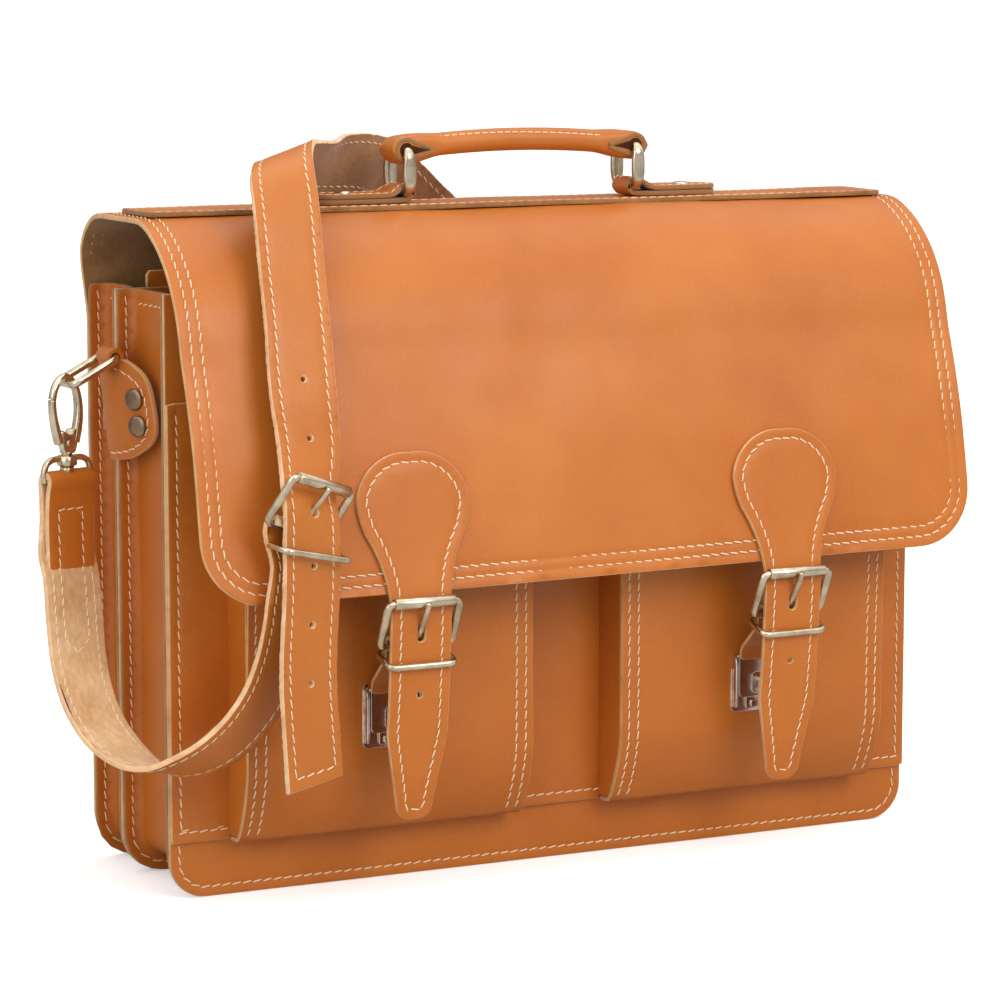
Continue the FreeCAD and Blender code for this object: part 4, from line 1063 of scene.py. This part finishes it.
def buckle_metal(name, nodes, bar, roller, across, width, roller_length, keeper):
    """A roller buckle: bent frame, turned roller, tapered prong and wire keeper; the last three pieces
    ride on bodies named like their nodes."""
    lean = math.radians(9.9)
    up = unit(roller - bar)
    across = unit(np.array(across, float))
    height = np.linalg.norm(roller - bar)
    frame_piece = wire_loop(name + "_frame_wire", rounded(width, height, 3.2), (bar + roller) / 2, across,
                            up, lambda line: (3.3, 3.2 + 0.8 * (np.abs(line[:, 0]) > width / 2 - 1)))
    put(frame_piece, "flap", "antique_nickel", nodes[0])
    profile = [(1.7, 0), (2.4, 0.0), (2.75, 0.4), (2.75, roller_length - 0.4), (2.4, roller_length),
               (1.7, roller_length)]
    end = roller - across * roller_length / 2
    turned_piece = turned(name + "_roller_tube", profile, end, across, BRASS, 24)
    put(turned_piece, nodes[1], "antique_nickel", nodes[1])
    forward = np.cross(across, up)
    forward = -forward if forward[1] > 0 else forward
    direction = up * math.cos(lean) + forward * math.sin(lean)
    shift = np.linspace(0, 1, 14)
    turn = np.radians(np.linspace(-150, 60, 12))
    eye = bar + 2.7 * (np.cos(turn)[:, None] * forward + np.sin(turn)[:, None] * up)
    run = (bar + direction * (3.2 + 23.0 * shift[:, None])
           + forward * (0.35 * np.sin(shift * math.pi))[:, None])
    line = softened(np.concatenate([eye, run]), 1.0, 0.8)
    fat = np.interp(np.linspace(0, 1, len(line)), [0, 0.25, 0.9, 1], [3.0, 3.0, 2.8, 2.3])
    prong = sweep(name + "_prong_pin", line, across, fat, fat * 0.82, BRASS, power=2.6)
    put(prong, nodes[2], "antique_nickel", nodes[2])
    middle, right, deep, wide, depth = keeper
    ring = wire_loop(name + "_keeper_wire", rounded(wide, depth, 3.4), middle, right, deep,
                     lambda line: (3.1, 3.0))
    put(ring, nodes[3], "antique_nickel", nodes[3])


def closure_buckles():
    for side, sign in SIDES.items():
        middle = np.array([sign * CLOSURE_X, 0, 0])
        tilt = math.radians(20 - 90)
        deep = (0, -math.sin(tilt), math.cos(tilt))
        nodes = [kind + side for kind in ("buckle_frame_", "buckle_roller_", "buckle_prong_", "keeper_")]
        buckle_metal("buckle_" + side, nodes, middle + BAR, middle + ROLLER, (1, 0, 0), 36.4, 30.5,
                     (middle + [0, -117.5, 115.5], (1, 0, 0), deep, 33.7, 14.8))


def chape(side, sign):
    """Leather folded round the buckle's lower bar; its tail carries the lock tongue."""
    middle = sign * CLOSURE_X
    track = Track([(-117.6, 118.2), ("arc", (-119.9, 121.2), (-117.4, 124.8)),
                   ("arc", (-114.2, 124.2), (-113.1, 120)), (-113.0, 115), (-96.0, 101),
                   (-95.2, 95.5)], 0.8)
    long = track.length
    outline = outlined([[-14, 0], [14, 0], [12.5, long - 1], [11.5, long], [-11.5, long],
                        [-12.5, long - 1]], 2.5)
    slot = outlined([[-2.4, 3], [2.4, 3], [2.4, 12.5], [-2.4, 12.5]], 2)
    piece = leather("chape_leather_" + side, outline, across_x(track, middle), thickness=1.9, holes=[slot],
                    rows=track.rows(4.0, 14.0), step=4.0, seed=61, uneven=0.1)
    put(piece, "flap", "leather", "chape_" + side)


def metal_plate(name, outline, face, thickness, **more):
    return leather(name, outline, face, thickness=thickness, uneven=0, materials=(NICKEL,) * 3, **more)


def lock(side, sign):
    """A nickel tuck lock on the pocket: case with rolled sides, sprung catch, tongue with a window."""
    middle = sign * CLOSURE_X

    def facing(depth):
        return plane((middle, depth, 0), (1, 0, 0), (0, 0, 1))
    plate = metal_plate("plate", rounded(30, 31, 3) + [0, 84.5], facing(-90), 1.0)
    walls = []
    web = outlined([[-90.2, 71.4], [-93.0, 71.8], [-94.0, 74.0], [-94.0, 94.5], [-93.0, 96.9],
                    [-90.2, 97.3]], 1.5)
    bead = [(-90.0, 72.2), (-92.0, 72.2), (-93.4, 74.0), (-93.6, 80.0), (-93.6, 94.0), (-92.0, 96.8),
            (-90.0, 96.8)]
    for dx in (-13.6, 13.6):
        side_face = plane((middle + dx + 0.6, 0, 0), (0, 1, 0), (0, 0, 1))
        walls.append(metal_plate("web", web, side_face, 1.2, step=4.0))
        centres = np.array([[middle + dx, y, z] for y, z in bead])
        walls.append(sweep("bead", softened(centres, 0.8, 0.8), (1, 0, 0), 1.5, 1.1, NICKEL))
    put(joined("lock_case_" + side, plate, *walls), "root", "nickel", "lock_base_" + side)
    heads = [turned("head", [(1.7, 0), (1.7, 0.25), (1.2, 0.6), (0.05, 0.75)], (middle + dx, -90, 96),
                    (0, -1, 0), NICKEL, 20) for dx in (-10, 10)]
    put(joined("lock_rivet_heads_" + side, *heads), "root", "nickel", "lock_rivets_" + side)
    catch = [metal_plate("slider", rounded(14, 13, 1.2) + [0, 77], facing(-91.4), 1.2, step=4),
             metal_plate("button", rounded(10, 4, 1.4) + [0, 73], facing(-93), 1.8, step=3),
             metal_plate("nose", rounded(5, 3, 0.8) + [0, 82], facing(-92.5), 1.2, step=2)]
    put(joined("lock_catch_slider_" + side, *catch), "lock_catch_" + side, "nickel", "lock_catch_" + side)
    tongue = metal_plate("lock_tongue_plate_" + side, rounded(24, 22, 2.5) + [0, 87.5], facing(-93.2), 1.2,
                         holes=[rounded(9, 10, 1.5) + [0, 83.5]], step=4)
    put(tongue, "flap", "nickel", "lock_tongue_" + side)


# ---------------------------------------------------------------- side tabs, rings and snap hooks

TURN = math.radians(19)
HOOK_AT = (-229, -11)
RING_BAR = (206.0, 250.0)


def hook_point(across, level, sign, out=0.0):
    """A point in the snap hook's plane; 'out' moves it along the plane's normal, to the front."""
    x = HOOK_AT[0] + across * math.cos(TURN) + out * math.sin(TURN)
    y = HOOK_AT[1] + across * math.sin(TURN) - out * math.cos(TURN)
    return np.array([-sign * x, y, level])


def tab_leaf(sign, outline, seam, lift):
    """One leaf of a side tab; outline points are (distance round the divider's edge, level)."""
    track = Track([(-191.3, -38), (-201.2, -5), (-201.2, 5), (-191.3, 30)], 2.0, side=-1)

    def where(flat):
        place, normal = track.at(flat[:, 0])
        place = place + normal * (3.0 + lift(flat))[:, None]
        return (np.stack([-sign * place[:, 0], place[:, 1], flat[:, 1]], 1),
                np.stack([-sign * normal[:, 0], normal[:, 1], 0 * normal[:, 0]], 1))
    outline = outlined(softened(np.array(outline, float), 1.2), 2.5)
    seams = [softened(np.array(seam, float), 1.5, 2.0)]
    leaf = leather("leaf", outline, where, thickness=2.8, seams=seams, columns=track.rows(4.0, 6.0),
                   step=5.0, seed=71)
    return leaf, stitches("thread", where, seams, pitch=4.8)


def side_tab(side, sign):
    """The leather tab that hangs over the divider's edge from the ring, with a smaller leaf behind."""
    def hanging(flat):
        rise = np.clip((flat[:, 1] - 202) / 46, 0, 1)
        near = np.clip((flat[:, 0] - 12) / 24, 0, 1)
        return 5.4 * rise * eased(near)
    front = [(37.6, 226), (37.6, 201.5), (36.8, 200.6), (28, 201.2), (20, 203), (14.6, 205.6), (9.5, 208.2),
             (6, 211), (3.6, 214), (2.6, 217.5), (3.0, 222), (4.5, 229), (6, 234), (8, 238.8), (11, 242.3),
             (15, 245), (19, 247.3), (22.6, 249.4), (37.6, 249.4), (37.6, 228)]
    seam = [(36.8, 203.9), (30, 204.4), (22, 206.2), (16, 208.7), (11.5, 211.8), (8.6, 216), (7.8, 220),
            (8.4, 226), (10.6, 232.4), (14, 237), (18, 240), (23, 243), (30.5, 245.8)]
    rear = [(36.5, 238), (36.5, 231), (44, 230), (46, 222), (48, 214), (56, 212.4), (64, 213.2), (69, 218),
            (69, 230), (64, 240), (54, 247), (36.5, 247), (36.5, 238)]
    back_seam = [(49.5, 219), (54, 216.2), (62, 217.2), (65, 221), (64.5, 229), (60, 237), (52, 242.8)]
    leaf, thread = tab_leaf(sign, front, seam, hanging)
    rear_leaf, rear_thread = tab_leaf(sign, rear, back_seam, lambda flat: 0 * flat[:, 0])
    turns = np.radians(np.linspace(-55, 200, 26))
    loop = np.stack([RING_BAR[0] + 3.45 * np.cos(turns), RING_BAR[1] + 3.45 * np.sin(turns)], 1)
    path = softened(np.concatenate([[[209.2, 243.6]], loop, [[203.0, 244.0]]]), 0.8)
    centres = np.stack([sign * path[:, 0], np.full(len(path), -9.2), path[:, 1]], 1)
    strap_loop = sweep("loop", centres, (0, 1, 0), 14.8, 2.6, GRAIN, power=9.0)
    put(joined("side_tab_leather_" + side, leaf, rear_leaf, strap_loop), "root", "leather",
        "side_tab_" + side)
    put(joined("side_tab_stitches_" + side, thread, rear_thread), "root", "leather")
    outward = unit(np.array([sign * 0.84, -0.54, 0]))
    heads = []
    profile = [(4.6, -2.2), (5.0, -0.6), (5.1, 0.3), (4.7, 0.9), (4.0, 1.2), (2.2, 1.4), (0.05, 1.45)]
    for level, along in ((230.9, 0.53), (218.5, 0.60)):
        foot = np.array([sign * 205.6, -6.6, level]) + np.array([-sign * 9.9, -33.0, 0]) * along
        heads.append(turned("head", profile, foot, outward, DARK_BRASS))
    put(joined("side_tab_rivet_heads_" + side, *heads), "root", "antique_brass",
        "side_tab_rivets_" + side)


def side_ring(side, sign):
    bar = np.array([sign * RING_BAR[0], -9.0, RING_BAR[1]])
    tilt = math.radians(27.6)
    along = np.array([sign * math.cos(tilt), 0, -math.sin(tilt)])
    ring = wire_loop("side_ring_wire_" + side, rounded(20.4, 25, 3.0), bar + along * 12.5, (0, 1, 0), along,
                     lambda line: (3.7, 3.4))
    put(ring, "side_ring_" + side, "antique_brass", "side_ring_" + side)


def hook_bar(name, line, sign, wide, thick, power):
    """A bar in the hook's plane; wide and thick are (share of its length, size) tables."""
    centres = np.array([hook_point(a, b, sign) for a, b in line])
    share = np.linspace(0, 1, len(line))
    normal = hook_point(0, 0, sign, 1.0) - hook_point(0, 0, sign)
    return sweep(name, centres, normal, np.interp(share, *wide), np.interp(share, *thick), BRASS,
                 power=power)


def snap_hook(side, sign):
    """A cast trigger hook: tapered bow on a broad foot, slim gate, swivel boss and D-shaped eye."""
    normal = hook_point(0, 0, sign, 1.0) - hook_point(0, 0, sign)
    right = unit(hook_point(1, 0, sign) - hook_point(0, 0, sign))
    upright = np.array([0.0, 0.0, 1.0])
    bow = np.array([[4.4, 211.0], [6.1, 216.5], [7.2, 222.5], [7.3, 228.5], [6.3, 234.5], [3.9, 239.6],
                    [0, 242.4], [-4.2, 240.6], [-7.1, 236.2], [-8.1, 231.8]])
    bow_piece = hook_bar("bow", softened(bow, 1.6, 0.7), sign,
                         ([0, 0.15, 0.45, 0.8, 1], [5.4, 5.0, 4.3, 4.0, 4.0]),
                         ([0, 0.12, 0.35, 0.6, 1], [5.0, 4.8, 4.0, 3.3, 3.5]), 2.3)
    drop = softened(np.array([[0, 205.8], [3.4, 205.8], [5.2, 208.4], [6.9, 212.6], [7.7, 217.2],
                              [3.6, 217.2], [0.6, 214.4], [-3.2, 216.8], [-7.7, 217.2], [-6.9, 212.6],
                              [-5.2, 208.4], [-3.4, 205.8], [-0.8, 205.8]]), 0.6, 0.6)
    out = np.cross(right, upright)

    def domed(flat):
        turn = flat[:, :1] / 11
        place = (hook_point(0, 0, sign) + out * (3.0 + 11 * (np.cos(turn) - 1)) + right * 11 * np.sin(turn)
                 + upright * flat[:, 1:])
        return place, out * np.cos(turn) + right * np.sin(turn)
    foot_piece = leather("foot", drop, domed, thickness=5.4, step=2.0, materials=(BRASS,) * 3, uneven=0,
                         rounding=1.6)
    neck, nut = (turned(name, profile, hook_point(0, level, sign), upright, BRASS, 24)
                 for name, profile, level in (("neck", [(2.6, 0), (2.6, 1.4), (3.6, 2.2)], 204.4),
                                              ("nut", [(2.9, 0), (3.3, 0.4), (3.3, 2.9)], 196.9)))
    pins = [turned("pin", [(1.5, 0), (1.5, 0.4), (0.9, 0.75), (0.05, 0.85)],
                   hook_point(-0.6, 211.0, sign, face_side * 2.8), normal * face_side, BRASS, 16)
            for face_side in (-1, 1)]
    put(joined("snap_hook_cast_" + side, bow_piece, foot_piece, neck, nut, *pins), "snap_hook_" + side,
        "antique_brass", "snap_hook_" + side)
    gate_line = np.array([[-4.4, 211.0], [-6.2, 216.5], [-7.5, 222.0], [-8.2, 227.0], [-8.2, 231.5]])
    gate = hook_bar("snap_gate_lever_" + side, softened(gate_line, 1.2, 0.7), sign,
                    ([0, 0.5, 1], [5.0, 4.4, 3.9]), ([0, 0.5, 1], [4.8, 3.9, 3.3]), 2.4)
    put(gate, "snap_gate_" + side, "antique_brass", "snap_gate_" + side)
    outline = np.array([[-13.9, 0.0], [13.9, 0.0], [13.9, 4.2], [12.2, 8.4], [8.6, 10.0], [-8.6, 10.0],
                        [-12.2, 8.4], [-13.9, 4.2]])
    ring_line = softened(closed(np.roll(outline, -1, 0)), 1.1, 0.8)[:-1]
    eye = wire_loop("eye", ring_line, hook_point(0, EYE_LEVEL, sign), right, upright,
                    lambda line: (3.0, 3.0))
    boss = turned("boss", [(3.8, 0), (4.7, 0.5), (4.8, 1.0), (4.8, 4.2), (4.3, 4.9), (3.0, 5.0)],
                  hook_point(0, 200.0, sign), upright, BRASS, 28)
    put(joined("swivel_eye_cast_" + side, eye, boss), "root", "antique_brass", "swivel_eye_" + side)


# ---------------------------------------------------------------- shoulder strap

EYE_LEVEL = 193.6
WRAP = 3.3
STRAP_THICKNESS = 2.8


def hook_pair(out, level, half, sign):
    """Two edge points of a strap that lies beside the hook's plane."""
    return [*hook_point(-half, level, sign, out), *hook_point(half, level, sign, out)]


def eye_wrap(sign, tail_level, first_level):
    """Edge pairs that carry a strap up to the eye's bar, round it and down on the other side."""
    rows = [(-1.4, first_level, 15.8), (-1.6, 176.0, 15.0), (-2.6, 187.0, 13.6)]
    for angle in np.radians(180 - np.linspace(180, 0, 8)):
        rows.append((-WRAP * math.cos(angle), EYE_LEVEL + WRAP * math.sin(angle), 13.2))
    rows += [(2.1, 188.0, 13.4), (1.45, 182.0, 13.5), (1.4, tail_level, 13.5)]
    return [hook_pair(*row, sign) for row in rows]


BUCKLE_AT = np.array([-153.3, -136, 201.6])
BUCKLE_ACROSS = unit(np.array([0.895, 0.33, -0.30]))
DOWN = np.array([-0.36, 0.36, -0.86])
DOWN = unit(DOWN - BUCKLE_ACROSS * (DOWN @ BUCKLE_ACROSS))
STRAP_BAR = BUCKLE_AT + DOWN * 25.0

LONG_RUN = [
    (-171.5, -135.5, 62, -141.1, -125.7, 66), (-174.4, -136, 121.5, -144, -126, 120.5),
    (-173.2, -137, 155, -142.8, -127, 153), (-172.7, -138, 178, -143.5, -128.4, 176),
    (-172.8, -138.6, 190, -144, -128.4, 186),
    (-172, -134.5, 202, -144.4, -125.5, 193), (-170, -125, 217, -138.8, -119.5, 213),
    (-170, -115, 243, -137.7, -114, 241), (-168, -105, 272, -135.5, -104, 268),
    (-166, -92, 300, -132.5, -91, 297), (-163, -80, 325, -130.2, -80, 323),
    (-160, -70, 335, -127, -68, 339), (-150, -52, 340, -118, -48, 349),
    (-138, -34, 334, -108, -33, 350), (-119, -17, 326, -95, -20, 349),
    (-96, -4, 323, -80, -2, 351), (-72, 8, 321, -58, 12, 349.5),
    (-53, 31, 315, -37, 27, 342), (-35, 45, 302, -11, 40, 325),
    (-12, 50, 283, 13, 46, 306), (25, 48, 258, 47, 46, 282), (81, 47, 224, 98, 47, 252),
    (131, 47.5, 194, 148, 47.5, 222), (176, 47, 169, 194, 47, 196),
    (205, 46.5, 147, 228, 42, 170), (216, 38, 132.5, 246, 31, 145.5), (220, 21, 127, 252.5, 15, 134),
    (220.5, 4, 132, 252, -2, 136)]
SHORT_RUN = [
    (-244, -18, 152, -214, -8, 150), (-246.2, -28, 131.8, -215.4, -18.3, 128.9),
    (-249.4, -44, 109.9, -219.1, -32.5, 109.5), (-249.2, -63, 91.7, -220.4, -48.3, 93.4),
    (-243.2, -80, 78, -217.4, -60.6, 81.2), (-232.4, -94, 71.6, -210.8, -69.8, 70.6),
    (-224.4, -101, 72.4, -204.7, -76.5, 64.7), (-216.7, -106, 76.5, -197.9, -83.1, 63.4),
    (-206.1, -110, 82.7, -188, -89, 66), (-194.5, -114, 93.4, -175.4, -95.9, 74.5),
    (-185.8, -118, 107.1, -163, -102.2, 90.4), (-181.1, -121, 121, -154.8, -107.8, 107.4),
    (-178.8, -125, 137, -149.5, -117.5, 126), (-178, -128, 151, -148, -122.8, 141),
    (-175.5, -129.1, 164, -147, -124.2, 156)]


def strap_outline(long, taper):
    """A strap's flat outline; taper gives its half width along it."""
    t = np.arange(0.8, long - 0.7, 1.3)
    widths = np.interp(t, *taper)
    right = np.stack([widths, t], 1)
    near, far = widths[0], widths[-1]
    across = np.arange(-near + 3, near - 1, 3.0)
    start = np.stack([across, 0 * across], 1)
    far_across = np.arange(-far + 3, far - 1, 3.0)[::-1]
    finish = np.stack([far_across, long + 0 * far_across], 1)
    return np.concatenate([[[-near, 0]], start, [[near, 0]], right, [[far, long]], finish, [[-far, long]],
                           (right * [-1, 1])[::-1]])


def laid_strap(name, ribbon, taper, seams, bends, **more):
    """A strap's leather and the threads on both its faces; bends, given as (body, body, start, end), is not
    used.
    """
    strap = leather(name + "_leather", strap_outline(ribbon.length, taper), ribbon.at, seams=seams,
                    thickness=STRAP_THICKNESS, rows=ribbon.rows(), step=4.5, uneven=0.25, **more)
    threads = stitches(name + "_stitches", ribbon.at, seams)
    under = stitches(name + "_under_stitches", ribbon.at, seams, depth=STRAP_THICKNESS)
    for piece in (strap, threads, under):
        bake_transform(piece)
    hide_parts(name)


def long_strap():
    wrap = [pair[3:] + pair[:3] for pair in eye_wrap(1, 158.0, 157.0)]
    stations = LONG_RUN + wrap
    ribbon = Ribbon(stations, STRAP_THICKNESS)
    if ribbon.normals[20] @ [0, -1, 0] < 0:
        ribbon = Ribbon(stations, STRAP_THICKNESS, side=-1)
    long = ribbon.length
    near = long - 96
    seams = [np.array([[s, 5.6] for s in np.linspace(-11.9, 11.9, 5)])]
    seams += [np.stack([np.full(200, s * 11.9), np.linspace(5.6, near, 200)], 1) for s in (-1, 1)]
    end = np.linspace(near, long - 5, 40)
    inner = np.interp(end, [near, near + 45, long], [11.9, 9.4, 9.4])
    seams += [np.stack([inner * s, end], 1) for s in (-1, 1)]
    holes = [circle(0.4, at, 1.5, 10) for at in (47, 74, 101, 160, 187)]
    holes.append(circle(1.3, 125.2, 2.1, 10))
    towards = np.array([1, 1, -1.0]) / 3
    laid_strap("shoulder_strap_long", ribbon, ([0, near, near + 45, long], [16.4, 16.2, 13.5, 13.5]), seams,
               ("flap", "root", -0.300 * towards, -0.100 * towards), holes=holes,
               materials=(STRAP, FRAYED, FLESH), seed=81, fray=0.35)


def short_strap():
    forward = unit(np.cross(BUCKLE_ACROSS, -DOWN))
    forward = -forward if forward[1] > 0 else forward
    loop = []
    for angle in np.radians(np.linspace(-60, 190, 9)[1:-1]):
        centre = STRAP_BAR - forward * WRAP * math.cos(angle) - DOWN * WRAP * math.sin(angle)
        loop.append([*(centre - BUCKLE_ACROSS * 15.5), *(centre + BUCKLE_ACROSS * 15.5)])
    stations = eye_wrap(-1, 151.0, 158.0)[::-1] + SHORT_RUN + loop
    ribbon = Ribbon(stations, STRAP_THICKNESS)
    at_hook = np.argmin(np.abs(ribbon.run - 12))
    if ribbon.normals[at_hook] @ [-0.33, -0.94, 0] < 0:
        ribbon = Ribbon(stations, STRAP_THICKNESS, side=-1)
    long = ribbon.length
    t = np.linspace(56, long - 22, 200)
    edge = np.interp(t, [0, 56, 92, long], [9.8, 9.8, 11.8, 11.4])
    seams = [np.stack([edge * s, t], 1) for s in (-1, 1)]
    seams += [np.array([[-7.0, 1.5], [-7.0, 29], [7.0, 29], [7.0, 1.5]]),
              np.array([[-7.0, 62], [-7.0, 132], [0, 139], [7.0, 132], [7.0, 62]])]
    towards = np.array([0.6, -0.8, 0])
    laid_strap("shoulder_strap_short", ribbon, ([0, 51, 92, long], [13.5, 13.5, 16.2, 15.6]), seams,
               ("root", "flap", -0.115 * towards, 0.015 * towards),
               materials=(STRAP, FRAYED, PALE), seed=82, fray=0.2)


def shoulder_buckle():
    across = unit(np.array([0.95, 0.24, -0.22]))
    back = np.array([-0.31, 0.94, 0.12])
    back = unit(back - across * (back @ across))
    nodes = ["shoulder_buckle_" + kind for kind in ("frame", "roller", "prong", "keeper")]
    buckle_metal("shoulder_buckle", nodes, STRAP_BAR, BUCKLE_AT, BUCKLE_ACROSS, 37.5, 32.5,
                 (np.array([-158.3, -130.2, 170.5]), across, back, 37, 16))


# ---------------------------------------------------------------- stage

def studio():
    """Pale floor that runs up into a backdrop, soft lights and the camera."""
    run = softened(np.array([[-9000.0, 0], [6000, 0], [6000, 7000]]), 700, 100)
    verts = np.concatenate([np.stack([np.full(len(run), x), run[:, 0], run[:, 1] - 0.2], 1)
                            for x in (-9000, 9000)])
    count = len(run)
    faces = [[k, k + count, k + count + 1, k + 1] for k in range(count - 1)]
    make("studio_floor", verts, faces, (FLOOR,))
    world = bpy.data.worlds.new("Studio")
    world.use_nodes = True
    nodes, links = world.node_tree.nodes, world.node_tree.links
    where, height, sky = (nodes.new("ShaderNode" + kind)
                          for kind in ("TexCoord", "SeparateXYZ", "ValToRGB"))
    links.new(where.outputs["Generated"], height.inputs[0])
    links.new(height.outputs["Z"], sky.inputs["Fac"])
    links.new(sky.outputs["Color"], nodes["Background"].inputs["Color"])
    sky.color_ramp.elements.new(0.3)
    stops = ((0.0, 0.24), (0.35, 0.55), (0.75, 1.0))
    for stop, (level, bright) in zip(sky.color_ramp.elements, stops):
        stop.position = level
        stop.color = (bright, bright * 0.995, bright * 0.98, 1)
    nodes["Background"].inputs["Strength"].default_value = 1.40
    bpy.context.scene.world = world
    for name, place, goal, power, size in (
            ("Key", (0.4, -2.0, 1.3), (0, -0.05, 0.16), 17, 1.1),
            ("Fill", (-1.9, -1.2, 0.8), (-0.1, 0, 0.16), 8, 1.2),
            ("Top", (0.1, 0.1, 1.9), (0, 0, 0.25), 1.5, 1.0)):
        light = bpy.data.lights.new(name, "AREA")
        light.energy = power
        light.size = size
        lamp = bpy.data.objects.new(name, light)
        lamp.location = place
        lamp.rotation_euler = (Vector(goal) - Vector(place)).to_track_quat("-Z", "Y").to_euler()
        bpy.context.collection.objects.link(lamp)
    azimuth, elevation, reach = math.radians(-26.55), math.radians(7.98), 1.824
    back = Vector((math.sin(azimuth) * math.cos(elevation), -math.cos(azimuth) * math.cos(elevation),
                   math.sin(elevation)))
    camera = bpy.data.cameras.new("Camera")
    camera.lens = 137.2
    camera.sensor_width = 36.0
    eye = bpy.data.objects.new("Camera", camera)
    eye.location = Vector((-0.0298, -0.065, 0.1781)) + back * reach
    eye.rotation_euler = back.to_track_quat("Z", "Y").to_euler()
    bpy.context.collection.objects.link(eye)
    bpy.context.scene.camera = eye
    bpy.context.scene.view_settings.view_transform = "Standard"


def paper():
    """White studio paper that stays white in the picture but throws little light back."""
    n = Nodes("Studio_floor")
    seen = n.node("LightPath").outputs["Is Camera Ray"]
    tone = n.ramp(seen, [(0.0, (0.55, 0.54, 0.53, 1)), (1.0, (0.96, 0.96, 0.96, 1))])
    glow = n.node("MapRange", {"Value": seen})
    glow.inputs["To Max"].default_value = 0.35
    return n.surface({"Base Color": tone, "Emission Strength": glow.outputs["Result"]}, Roughness=0.95,
                     Specular_IOR_Level=0.0, Emission_Color=(1, 1, 1, 1))


FLOOR = paper()

body_panels()
gusset("gusset_front", -60.0, -1.25, 6)
gusset("gusset_rear", 1.25, 36.0, 7)
flap_and_back()
top_strip()
grip()
for side, sign in SIDES.items():
    pocket(side, sign)
    handle_tab(side, sign)
    handle_ring(side, sign)
    closure_strap(side, sign)
    chape(side, sign)
    lock(side, sign)
    side_tab(side, sign)
    side_ring(side, sign)
    snap_hook(side, sign)
closure_buckles()
long_strap()
short_strap()
shoulder_buckle()
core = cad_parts["handle_core"]
core.data.materials.clear()
core.data.materials.append(CORE)
studio()
